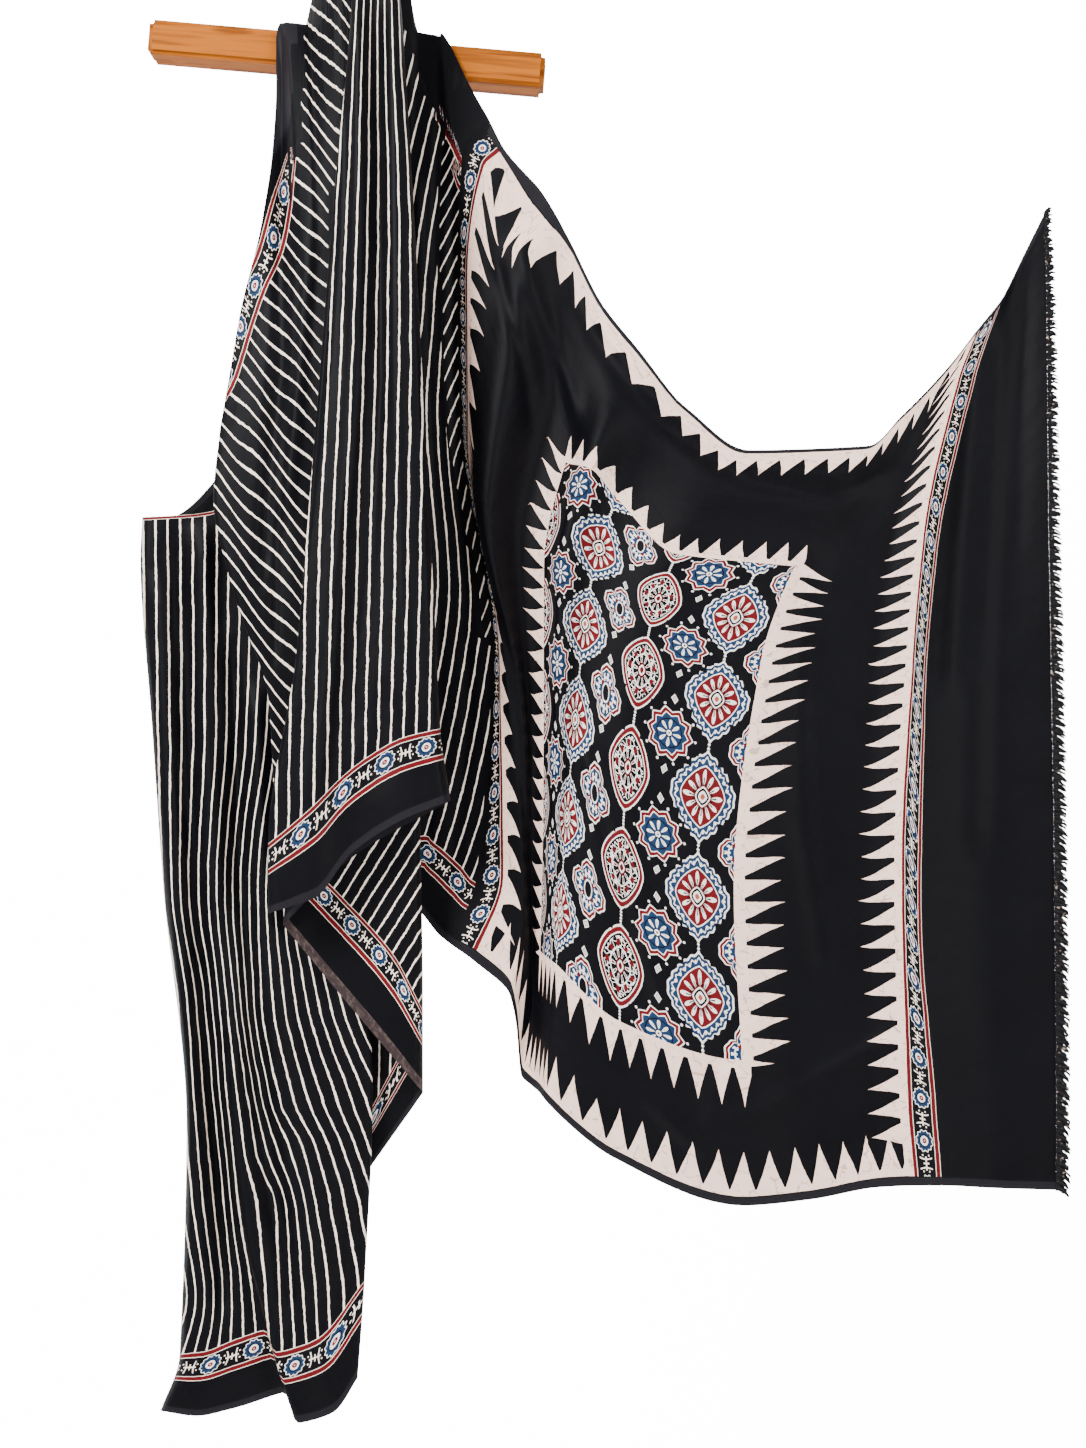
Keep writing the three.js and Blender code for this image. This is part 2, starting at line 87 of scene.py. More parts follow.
# Upright lines of the cloth, from the free end on: x and z at the seven stations; how much further back than
# its layer the line is at the first two, the third and the next two; its depth at the sixth and the seventh;
# and for the end panel the length of the print. A fold lies halfway between its two layers in depth.
LINES = [
    "endPanel",
    (590, -536, 590, -446, 588, -186, 584, 84, 581, 264, 579, 494, 577, 588, 0, 2, 4, 14, 20, 0),
    (524, -534, 521, -443, 511, -195, 512, 62, 520, 230, 540, 450, 553, 540, 16, 17, 18, 20, 22, 66),
    (459, -531, 452, -439, 435, -208, 440, 39, 453, 194, 498, 401, 529, 491, -2, -2, -2, 8, 12, 131),
    (427, -531, 419, -432, 412, -168, 425, 79, 437, 215, 477, 395, 499, 453, -9, -10, -12, 0, 6, 163),
    (385, -533, 378, -438, 368, -179, 378, 68, 397, 200, 445, 355, 468, 413, 6, 4, 2, 2, 4, 207),
    (307, -547, 296, -455, 284, -179, 318, 85, 345, 190, 392, 305, 413, 355, 12, 7, 2, -10, -6, 288),
    (232, -554, 235, -461, 223, -190, 255, 75, 305, 205, 350, 283, 374, 320, 2, -3, -8, -20, -12, 348),
    (80, -498, 86, -412, 90, -150, 122, 110, 165, 215, 215, 280, 238, 315, -12, -16, -20, -26, -14, 490),
    (2, -432, 10, -345, 28, -92, 55, 165, 95, 280, 142, 340, 161, 367, 4, -2, -2, -14, -8, 585),
    (-4, -424, 3, -338, 14, -85, 24, 178, 62, 320, 95, 390, 112, 428, 14, -16, -26, -10, -4, 625),
    (-14, -415, -5, -330, 1, -75, 2, 185, 34, 330, 50, 440, 63, 491, 30, 8, 12, 4, 2, 672),
    (-25, -404, -12, -318, -12, -60, -24, 200, 12, 372, 25, 490, 35, 548, 38, 20, 24, 8, 6, 722),
    (-31, -345, -17, -245, -28, 36, -64, 240, -38, 430, -20, 540, 18, 580, 24, 2, -14, -6, 2, 765),
    (-38, -312, -24, -200, -43, 66, -80, 285, -62, 480, -48, 548, 0, 610, 12, 2, 4, 4, 5, 815),
    (-80, -272, -45, -175, -50, 80, -86, 325, -87, 515, -68, 640, -45, 662, 12, 12, 16, 10, 9, 865),
    (-108, -252, -76, -182, -58, 85, -95, 345, -98, 520, -92, 655, -62, 695, 18, 22, 24, 12, 12, 905),
    (-122, -240, -96, -162, -78, 100, -106, 360, -108, 540, -104, 690, -82, 730, 22, 23, 24, 13, 14, 929),
    (-136, -222, -118, -142, -104, 120, -120, 385, -124, 560, -114, 765, -111, 788, 24, 25, 26, 14, 16, 961),
    "back",
    (-143, -214, -128, -134, -116, 125, -127, 392, -131, 570, -118, 790, -117, 795, 0, 0, 0, 15, 21),
    (-148, -208, -134, -128, -123, 128, -131, 396, -135, 575, -122, 792, -121, 782, 0, 0, 0, 15, 62),
    (-160, -215, -148, -130, -138, 125, -143, 400, -145, 585, -140, 795, -139, 785, 0, 0, 0, 15, 62),
    (-168, -228, -158, -144, -148, 118, -149, 400, -149, 592, -147, 797, -146, 803, 0, 0, 0, 14, 20),
    (-176, -244, -170, -158, -160, 108, -155, 400, -153, 600, -152, 815, -160, 880, 0, 0, 0, 12, 12),
    (-215, -400, -232, -315, -215, -60, -190, 300, -180, 550, -185, 815, -195, 900, 0, 0, 0, 6, 4),
    (-290, -600, -305, -512, -285, -220, -262, 110, -245, 340, -240, 540, -235, 620, 0, 0, 0, 20, 18),
    (-375, -715, -385, -628, -364, -350, -362, -60, -352, 120, -350, 250, -350, 320, 0, 0, 0, 24, 22),
    (-410, -755, -404, -670, -390, -440, -405, -165, -415, 20, -430, 188, -432, 237, 0, 0, 0, 24, 22),
    "fold", (-440, -790, -418, -725, -410, -460, -437, -185, -450, 0, -463, 185, -461, 238),
    "leftPanel",
    (-400, -796, -392, -722, -398, -460, -418, -185, -435, 0, -440, 186, -439, 239, -8, -4, 0, -18, -16),
    (-355, -787, -355, -708, -383, -455, -395, -185, -402, 0, -405, 188, -405, 241, 4, 3, 2, -18, -16),
    (-297, -769, -320, -697, -368, -450, -364, -185, -374, 0, -378, 192, -378, 245, 8, 6, 3, -18, -16),
    (-283, -804, -308, -722, -356, -448, -350, -187, -358, 0, -350, 210, -348, 272, -18, -9, 0, -18, -16),
    (-240, -791, -262, -708, -305, -450, -325, -200, -330, 0, -318, 290, -315, 370, -6, -3, 0, -24, -24),
    "fold", (-213, -752, -205, -640, -196, -432, -205, -190, -225, 0, -240, 310, -240, 400),
    "underLeft",
    (-245, -700, -238, -610, -230, -415, -238, -175, -252, 15, -262, 325, -262, 415, 0, 0, 0, -15, -15),
    "fold", (-285, -680, -275, -595, -262, -400, -270, -160, -280, 30, -285, 335, -280, 430),
    "inner",
    (-225, -552, -212, -470, -205, -230, -205, 60, -210, 340, -215, 700, -215, 800, 0, 0, 0, -4, -5),
    "fold", (-138, -424, -138, -330, -142, -80, -152, 200, -165, 450, -190, 788, -198, 895),
    "middle",
    (-185, -368, -172, -265, -170, -60, -175, 220, -182, 470, -200, 788, -206, 896, 0, 0, 0, -19, -17),
    (-240, -303, -222, -208, -215, -20, -210, 250, -205, 500, -212, 792, -215, 896, 0, 0, 0, -19, -17),
    "fold", (-299, -231, -290, -140, -275, 40, -262, 300, -250, 550, -236, 800, -230, 893),
    "lining",
    (-215, -150, -205, -60, -200, 120, -200, 350, -205, 580, -205, 802, -205, 896, 0, 0, 0, -30, -27),
    "fold", (-106, -88, -118, -5, -128, 200, -140, 430, -150, 620, -162, 812, -172, 896),
    "front",
    (-155, -107, -160, -15, -172, 180, -176, 410, -176, 600, -176, 815, -182, 900, -2, -2, -2, -60, -56),
    (-222, -150, -228, -58, -214, 140, -196, 390, -190, 600, -190, 818, -192, 902, 6, 5, 4, -57, -54),
    (-262, -200, -262, -92, -250, 130, -225, 380, -212, 600, -204, 820, -204, 902, -6, -5, -4, -60, -56),
    "fold", (-316, -218, -316, -138, -284, 80, -262, 340, -242, 590, -221, 818, -216, 899),
    "behindFront",
    (-265, -150, -262, -80, -245, 110, -230, 360, -220, 590, -210, 815, -208, 896, 0, 0, 0, -50, -47),
    "fold", (-225, -120, -220, -40, -210, 150, -205, 380, -200, 600, -196, 812, -199, 892),
    "swag",
    (-258, -145, -258, -85, -254, 110, -243, 350, -232, 590, -237, 812, -240, 882, 0, 0, 0, -40, -37),
    (-266, -150, -266, -90, -264, 100, -257, 330, -252, 560, -258, 806, -262, 850, 0, 0, 0, -14, 6),
    (-272, -151, -272, -93, -270, 95, -265, 315, -260, 530, -271, 804, -271, 811, 0, 0, 0, 14, 21),
    (-277, -152, -277, -95, -276, 92, -272, 305, -266, 510, -276, 805, -276, 796, 0, 0, 0, 15, 62),
    (-282, -153, -282, -97, -282, 88, -281, 295, -276, 495, -294, 807, -294, 797, 0, 0, 0, 15, 62),
    (-285, -153, -286, -99, -287, 84, -288, 285, -282, 480, -299, 806, -303, 806, 0, 0, 0, 14, 24),
    (-288, -154, -289, -101, -291, 78, -295, 270, -289, 465, -301, 765, -307, 787, 0, 0, 2, 12, 14),
    (-291, -154, -292, -105, -296, 68, -303, 252, -295, 447, -301, 680, -307, 730, 0, 0, 4, 0, 8),
    (-294, -155, -295, -107, -299, 60, -314, 228, -306, 425, -303, 590, -311, 662, 0, 0, 3, -18, -6),
    (-298, -155, -298, -110, -303, 50, -327, 202, -325, 385, -315, 510, -323, 580, 0, 0, 0, -40, -26),
    (-302, -155, -303, -115, -308, 35, -341, 175, -352, 322, -342, 430, -349, 470, 0, 0, 0, -50, -44),
    "fold", (-309, -156, -309, -118, -315, 20, -354, 145, -379, 255, -372, 335, -364, 382),
    "swagReturn",
    (-280, -150, -281, -110, -284, 30, -322, 155, -338, 270, -338, 345, -336, 385, 0, 0, 0, -42, -38),
]


def smooth_run(a, b):
    """The curve through (a[i], b[i]) that never swings past its points: cubics, with the slope at a point
    3pq / (p + q + max(p, q)) from the rises p and q beside it, or 0 where they differ in sign."""
    a = np.asarray(a, float)
    b = np.asarray(b, float)
    one = b.ndim == 1
    b = b.reshape(len(a), -1)
    if len(a) == 1:
        return lambda t: np.repeat(b[:1], len(t), 0)
    h = np.diff(a)[:, None]
    rise = np.diff(b, axis=0) / h
    p, q = rise[:-1], rise[1:]
    top = np.where(p > 0, np.maximum(p, q), np.minimum(p, q))
    with np.errstate(divide="ignore", invalid="ignore"):
        inner = np.where(p * q <= 0, 0.0, 3 * p * q / (p + q + top))
    slope = np.vstack([rise[:1], inner, rise[-1:]])

    def at(t):
        t = np.clip(np.atleast_1d(np.asarray(t, float)), a[0], a[-1])
        i = np.clip(np.searchsorted(a, t, side="right") - 1, 0, len(a) - 2)
        s = ((t - a[i]) / (a[i + 1] - a[i]))[:, None]
        hi = (a[i + 1] - a[i])[:, None]
        r = ((2 * s**3 - 3 * s**2 + 1) * b[i] + (s**3 - 2 * s**2 + s) * hi * slope[i]
             + (3 * s**2 - 2 * s**3) * b[i + 1] + (s**3 - s**2) * hi * slope[i + 1])
        return r[:, 0] if one else r

    return at


def by_layer(table):
    """The rows of a table, each with the name of its layer, which stands before the first of them."""
    layer = None
    for entry in table:
        if isinstance(entry, str):
            layer = entry
        else:
            yield layer, entry


def table_rows():
    """The rows of LINES as arrays, with the layer that each is in."""
    rows = []
    for layer, entry in by_layer(LINES):
        row = {"layer": layer, "xs": np.array(entry[0:14:2], float), "zs": np.array(entry[1:14:2], float)}
        if layer != "fold":
            low, mid, high, sixth, seventh = entry[14:19]
            depth = np.array(LAYERS[layer], float)[[0, 0, 0, 0, 1]] + (low, low, mid, high, high)
            row["ys"] = np.concatenate([depth, [sixth, seventh]])
        if layer == "endPanel":
            row["print"] = entry[19]
        rows.append(row)
    return rows


def split_layers(rows):
    """The rows from each fold to the next, with the folds at both ends."""
    runs, run = [], []
    for row in rows:
        run.append(row)
        if row["layer"] == "fold":
            runs.append(run)
            run = [row]
    runs.append(run)
    return runs


def line_steps(total, at_start, at_end):
    """Distances along a layer at which its upright lines stand, closer together at a fold."""
    near = [0, 0.15, 0.45, 1.0, 2.0, 3.6, 5.2, TURN]
    low = near if at_start else [0]
    high = [total - d for d in reversed(near)] if at_end else [total]
    parts = max(1, round((high[0] - low[-1]) / COLUMN_STEP))
    return np.concatenate([low[:-1], np.linspace(low[-1], high[0], parts + 1), high[1:]])


def turn_left(distance):
    """The share of a fold's turn that is left at this distance: a quarter circle over TURN."""
    r = np.clip(1 - distance / TURN, 0, 1)
    return (1 - np.sqrt(1 - r * r))[:, None]


def row_places(rows):
    """How far along its layer each row stands."""
    along = [0.0]
    for before, row in zip(rows, rows[1:]):
        gap = np.hypot(row["xs"] - before["xs"], row["zs"] - before["zs"]).mean()
        along.append(along[-1] + max(gap * ROW_SHARE, LEAST_ROW))
    return along


def layer_columns(rows, start_depth, end_depth):
    """Seven places on each upright line of a layer, and how far along it its rows and its lines stand."""
    at_start = rows[0]["layer"] == "fold"
    at_end = rows[-1]["layer"] == "fold"
    along = row_places(rows)
    steps = line_steps(along[-1], at_start, at_end)
    x = smooth_run(along, [r["xs"] for r in rows])(steps)
    z = smooth_run(along, [r["zs"] for r in rows])(steps)
    free = [(s, r["ys"]) for s, r in zip(along, rows) if r["layer"] != "fold"]
    y = smooth_run([f[0] for f in free], [f[1] for f in free])(steps)
    if at_start:
        y = y + (start_depth - y) * turn_left(steps)
    if at_end:
        y = y + (end_depth - y) * turn_left(along[-1] - steps)
    return np.stack([x, y, z], -1), along, steps


def cloth_columns():
    """Seven places on each upright line, the layer that each line is in, and the print's length at it."""
    runs = split_layers(table_rows())
    fold_depths = [None] + [(a[-2]["ys"] + b[1]["ys"]) / 2 for a, b in zip(runs, runs[1:])] + [None]
    parts, layer_of, prints = [], [], []
    length = 0.0
    for i, run in enumerate(runs):
        columns, along, steps = layer_columns(run, fold_depths[i], fold_depths[i + 1])
        if i == 0:
            # the end panel, and the cloth that goes on from it behind the pleats
            panel = [row for row in run if row["layer"] == "endPanel"]
            last = along[len(panel) - 1]
            mark = smooth_run(along[:len(panel)], [row["print"] for row in panel])
            rest = panel[-1]["print"] + np.maximum(steps - last, 0) * BACK_PRINT / ROW_SHARE
            printed = np.where(steps <= last, mark(steps), rest)
            names = np.where(steps <= last, "endPanel", "back")
        else:
            step = np.hypot(np.diff(columns[:, 2, 0]), np.diff(columns[:, 2, 2]) * DROP_SHARE)
            printed = length + np.concatenate([[0], np.cumsum(step)])
            names = np.full(len(columns), run[1]["layer"])
        length = printed[-1]
        skip = 1 if i else 0
        parts.append(columns[skip:])
        layer_of.append(names[skip:])
        prints.append(printed[skip:])
    return np.concatenate(parts), np.concatenate(layer_of), np.concatenate(prints)


def place(x, y, z):
    """From a place as seen at the distance SIGHT to its true place in the frame, in metres."""
    spread = 1 + y / SIGHT
    return np.stack([x * spread - BAR["x"], y - BAR["y"], z * spread - BAR["z"]], -1) * MM


places, layer_name, print_u = cloth_columns()
levels = np.linspace(0, WIDTH, round(WIDTH / LEVEL_STEP) + 1)
count = len(places)
at_level = smooth_run(STATIONS, places.transpose(1, 0, 2).reshape(len(STATIONS), -1))
grid = at_level(levels).reshape(len(levels), count, 3).transpose(1, 0, 2)  # line, level, (x, y, z)

# Print on the cloth: U runs along it from the free end and V across it from the lower hem
U = np.repeat(print_u[:, None], len(levels), 1)
V = np.repeat(levels[None, :], count, 0)
END = {"strip_right": 131.0, "strip_left": 163.0, "teeth": 207.0, "panel": 348.0, "panel_left": 672.0,
       "panel_left_teeth": 722.0, "second_teeth": 815.0, "second_right": 865.0, "second_left": 905.0}
PANEL = {"low": 160.0, "high": 755.0}

# Levels of the cloth and the print's V at them: the pleats' upper border lies above the picture, the left
# panel's is folded away behind its top edge, and a tight gather swallows some print above the second strip
PLEAT_PRINT = ((0, 800, 1085, 1120), (0, 800, 1030, 1120))
LEFT_PRINT = ((0, 700, 1111, 1120), (0, 700, 1027, 1037))
GATHER_PRINT = ((0, 600, 640, 800, 1030, 1120), (0, 600, 790, 965, 1068, 1120))
GATHER_TO = 765
PLEATS = ["inner", "middle", "lining", "front", "behindFront", "swagReturn"]
V[np.isin(layer_name, PLEATS)] = np.interp(levels, *PLEAT_PRINT)
V[layer_name == "leftPanel"] = np.interp(levels, *LEFT_PRINT)
in_run = np.isin(layer_name, ["endPanel", "back"])
gathered = (np.interp(print_u, [END["panel_left_teeth"], GATHER_TO], [0, 1]) * in_run)[:, None]
V = V + gathered * (np.interp(levels, *GATHER_PRINT)[None, :] - V)


def at_height(table, k, z):
    """Column k of a table whose first column is a height, at each height z."""
    return smooth_run([row[0] for row in table], [row[k] for row in table])(z.ravel()).reshape(z.shape)


# Where stripes of a known number run in a pleat: height, then x of each as seen
STRIPE_RUNS = {
    "leftPanel": ((0, 3, 5, 7, 9, 11, 16), (
        (240, -446, -403, -375, -347, -320, -290, -215), (0, -443, -402, -376, -352, -330, -305, -240),
        (-185, -437, -408, -385, -366, -348, -328, -280), (-317, -420, -389, -373, -355, -341, -324, -259),
        (-438, -412, -378, -363, -338, -322, -302, -218), (-490, -409, -373, -357, -330, -306, -275, -199),
        (-560, -402, -366, -350, -306, -284, -260, -176), (-662, -389, -358, -334, -303, -276, -246, -160),
        (-720, -400, -360, -330, -300, -272, -245, -165), (-800, -425, -385, -352, -315, -285, -255, -170))),
    "front": ((-4, 4), (
        (900, -215, -160), (830, -222, -158), (545, -240, -140), (400, -247, -139), (200, -257, -141),
        (-60, -263, -147), (-200, -265, -149))),
}


STRIPE_START = 1450
BEYOND = 99  # the count goes on at the same pace past the outer stripes


def stripe_number(x, z, numbers, rows):
    """The stripe's number at each place, growing evenly between two known stripes."""
    rows = sorted(rows)
    number = np.zeros(x.shape) + numbers[0]
    last = len(numbers) - 2
    for k in range(last + 1):
        left, right = at_height(rows, k + 1, z), at_height(rows, k + 2, z)
        share = np.clip((x - left) / (right - left), 0 if k else -BEYOND, BEYOND if k == last else 1)
        number += share * (numbers[k + 1] - numbers[k])
    return number


for name, (numbers, rows) in STRIPE_RUNS.items():
    here = layer_name == name
    U[here] = STRIPE_START + STRIPE_PITCH * stripe_number(grid[here, :, 0], grid[here, :, 2], numbers, rows)

# Stripes of the middle pleat lean to the right
MIDDLE_START, MIDDLE_GROWTH, ACROSS, UP = 1500, 1.05, 0.85, 0.53
here = layer_name == "middle"
U[here] = MIDDLE_START - MIDDLE_GROWTH * (ACROSS * grid[here, :, 0] - UP * grid[here, :, 2])

# Left of the second strip the stripes keep their distance from it and lean to the right, most of all on the
# rolled fold beside it: height, then how far a stripe has gone over, and the width of the roll
LEAN = [(-400, 0, 0), (-250, 50, 0), (-100, 90, 0), (90, 118, 0), (100, 120, 12), (350, 145, 18),
        (590, 175, 24), (720, 190, 30), (900, 210, 30)]
BEHIND_START, BEHIND_GROWTH, BEHIND_DROP = 909, 1.07, 0.3
ROLL_SLOPE, ROLL_FOOT = 0.55, -420
behind = (print_u > END["second_left"]) & in_run
x, z = grid[behind, :, 0], grid[behind, :, 2]
level_steps = np.hypot(np.diff(x, axis=0), BEHIND_DROP * np.diff(z, axis=0))
level_run = np.concatenate([np.zeros((1, len(levels))), np.cumsum(level_steps, 0)])
rolled = ROLL_SLOPE * (z - ROLL_FOOT)
over = np.where(level_run < at_height(LEAN, 2, z), rolled, at_height(LEAN, 1, z))
U[behind] = BEHIND_START + BEHIND_GROWTH * level_run + over

# High up, the border behind the pleats is folded away above its lower red line: height, then x of that line
RED_LINE = [(560, -60), (655, -95), (723, -130), (783, -152), (830, -166), (920, -200)]
RED_FROM = 640
RED_LEVEL = ((700, 712), (1036.6, 1022.0))  # height, then V on the line
LEFT_GROWTH, LEFT_LEAST = 0.9, 600
RIGHT_START, RIGHT_GROWTH = 1072, 0.4
all_x, all_z = grid[..., 0], grid[..., 2]
past_line = all_x - at_height(RED_LINE, 1, all_z)
left_v = np.maximum(np.interp(all_z, *RED_LEVEL) + LEFT_GROWTH * past_line, LEFT_LEAST)
right_v = RIGHT_START + RIGHT_GROWTH * past_line
V = np.where(behind[:, None] & (all_z > RED_FROM), np.where(past_line < 0, left_v, right_v), V)

# Border of the swag at the left: height, then x of its inner and its outer red line
SWAG_BORDER = [(-160, -440, -480), (340, -400, -432), (375, -362, -394), (400, -350, -382), (450, -335, -366),
               (500, -318, -349), (548, -297, -328), (600, -288, -314), (640, -285, -300), (690, -281, -286),
               (830, -272, -275)]
SWAG_START, SWAG_GROWTH, SWAG_SLANT, SWAG_LEFT = 2300, 0.66, 1.1, -300
WAVE, WAVE_LONG = 3.0, 62
SWAG_TOP = 655  # above this height the border is gathered out of sight
INNER_V, LINE_GAP, LEAST_V, MOST_V = 1030, 40, 120, 1112
swag = layer_name == "swag"
wave = WAVE * np.sin(2 * np.pi * (all_x + 0.2 * all_z) / WAVE_LONG)
slant = all_z + SWAG_SLANT * (all_x - SWAG_LEFT)
U[swag] = (SWAG_START + SWAG_GROWTH * slant + wave)[swag]
inner_x = at_height(SWAG_BORDER, 1, all_z)
share = (inner_x - all_x) / (inner_x - at_height(SWAG_BORDER, 2, all_z))
no_border = np.where(share < 0.2, np.minimum(share, -0.15), np.maximum(share, 1.15))
share = np.where(all_z > SWAG_TOP, no_border, share)
V[swag] = np.clip(INNER_V + LINE_GAP * share, LEAST_V, MOST_V)[swag]

# Creases in each layer: half width, how far back, then x and z of the points of the line it follows
CREASES = [
    "front",
    (7, 7, -196, 850, -190, 700, -187, 545, -186, 400, -197, 220, -212, 90, -220, -40),
    (9, -11, -172, 850, -168, 600, -164, 380, -158, 150, -150, -20),
    (5, 6, -158, 820, -155, 560, -150, 300, -146, 120),
    (10, -13, -214, 830, -212, 600, -215, 400, -232, 200, -250, 20, -262, -90),
    (5, 5, -228, 720, -232, 560, -246, 400, -268, 200, -285, 60),
    (10, 7, -180, 60, -185, -20, -196, -90),
    "swag",
    (8, 7, -298, 640, -299, 520, -303, 400, -318, 260, -322, 150),
    (9, -6, -262, 800, -266, 600, -282, 420, -300, 230),
    (5, 4, -276, 560, -286, 400, -306, 220, -310, 60),
    "leftPanel",
    (10, -12, -440, 180, -428, -100, -412, -400, -396, -640),
    (8, 16, -424, 236, -412, 0, -402, -200, -384, -430, -372, -560, -366, -700),
    (10, -11, -392, 236, -385, 0, -372, -250, -352, -450, -330, -600),
    (8, 14, -358, 100, -350, -150, -330, -380, -306, -560, -290, -700),
    (12, -11, -330, 50, -318, -250, -290, -480, -262, -690),
    (7, 6, -250, -250, -240, -420, -226, -600, -232, -700),
    (9, 7, -372, -690, -388, -735, -400, -780),
    "back",
    (7, 7, -128, 640, -126, 400, -115, 200, -118, 0, -135, -160),
    (6, -5, -143, 640, -140, 400, -130, 200, -128, 0),
    "endPanel",
    (7, 6, -104, 640, -106, 420, -92, 180, -86, 0, -112, -210),
    (9, 5, 60, -20, 88, -130, 112, -230, 140, -330),
    (8, -5, 44, -10, 70, -120, 92, -220),
    (12, 5, 190, -470, 205, -380, 228, -300),
    (9, -4, 190, -470, 260, -440, 340, -395, 420, -350),
    (9, 4, 110, -420, 160, -470, 200, -500),
    (12, 6, 10, 560, 60, 450, 130, 350, 230, 282, 330, 262, 420, 300),
    (10, -5, 40, 500, 110, 390, 220, 305, 330, 288, 410, 330),
    (10, 5, 505, 470, 490, 330, 478, 180, 470, 20),
    (12, -5, 530, 480, 520, 300, 505, 60, 500, -160),
    (8, 4, 560, 530, 552, 380, 548, 180),
    (14, 5, 300, 200, 292, 60, 300, -120, 330, -300),
    (7, 5, -60, 560, -40, 480, -20, 400, -12, 330),
    (9, -6, -30, 560, 0, 470, 30, 390, 50, 320),
]
CREASE_FADE = 40
CREASE_FREE_LINES = 10  # upright lines beside a fold


def line_distance(x, z, points):
    """The shortest distance from each place to a line of straight stretches, and how near it is to an end."""
    best = np.full(x.shape, 1e9)
    p = np.array(points, float).reshape(-1, 2)
    length = np.hypot(*np.diff(p, axis=0).T)
    ends = np.concatenate([[0], np.cumsum(length)])
    along = np.zeros(x.shape)
    for k in range(len(p) - 1):
        d = p[k + 1] - p[k]
        t = np.clip(((x - p[k, 0]) * d[0] + (z - p[k, 1]) * d[1]) / (d @ d), 0, 1)
        far = np.hypot(x - p[k, 0] - t * d[0], z - p[k, 1] - t * d[1])
        along = np.where(far < best, ends[k] + t * length[k], along)
        best = np.minimum(best, far)
    return best, np.minimum(along, ends[-1] - along)


# Each pushes its layer back by depth * exp(-(distance / half width)^2), less at its ends and beside a fold
for name, (half, depth, *points) in by_layer(CREASES):
    lines = np.flatnonzero(layer_name == name)
    order = np.arange(len(lines))
    near_fold = np.clip(np.minimum(order, order[::-1])[:, None] / CREASE_FREE_LINES, 0, 1)
    far, from_end = line_distance(grid[lines, :, 0], grid[lines, :, 2], points)
    fade = np.clip(from_end / CREASE_FADE, 0, 1)
    grid[lines, :, 1] += depth * np.exp(-(far / half) ** 2) * fade * near_fold


def smooth_piece(name, verts, faces):
    """A new object of smooth faces."""
    mesh = bpy.data.meshes.new(name)
    mesh.from_pydata(verts, [], faces)
    mesh.polygons.foreach_set("use_smooth", np.ones(len(faces), bool))
    mesh.update()
    return add(name, mesh)


# The sheet, its faces toward the camera where its lines run from right to left
high = len(levels)
i, j = np.meshgrid(np.arange(count - 1), np.arange(high - 1), indexing="ij")
corner = (i * high + j).ravel()
quads = np.stack([corner, corner + 1, corner + high + 1, corner + high], 1)
verts = place(*np.moveaxis(grid, -1, 0)).reshape(-1, 3)
cloth = smooth_piece("ajrakh_sheet", verts.tolist(), quads.tolist())
uv = np.stack([U, V], -1).reshape(-1, 2)[quads.ravel()] * MM
cloth.data.uv_layers.new(name="print").data.foreach_set("uv", uv.ravel().astype(np.float32))

# Materials


class Num:
    """A number in a material: arithmetic on it adds Math nodes."""

    def __init__(self, m, socket):
        self.m, self.socket = m, socket

    def between(self, a, b):
        return (self > a) * (self < b)

    def offset(self, pitch, start=0.0):
        """Distance from the nearest of the points start + k * pitch."""
        t = (self - start) / pitch if start else self / pitch
        return (t - t.round()) * pitch


def math_method(operation, mirrored):
    """A method of Num that adds a Math node, the other number first if it is mirrored."""
    def method(self, other=None):
        a, b = (other, self) if mirrored else (self, other)
        return self.m.math(operation, a, b)
    return method


OPERATIONS = {"__add__": "ADD", "__sub__": "SUBTRACT", "__mul__": "MULTIPLY", "__truediv__": "DIVIDE",
              "__radd__": "ADD", "__rsub__": "SUBTRACT", "__rmul__": "MULTIPLY", "__rtruediv__": "DIVIDE",
              "__pow__": "POWER", "__lt__": "LESS_THAN", "__gt__": "GREATER_THAN", "__abs__": "ABSOLUTE",
              "round": "ROUND", "sin": "SINE", "cos": "COSINE", "sqrt": "SQRT", "top": "MAXIMUM",
              "low": "MINIMUM"}
for name, operation in OPERATIONS.items():
    setattr(Num, name, math_method(operation, name.startswith("__r")))


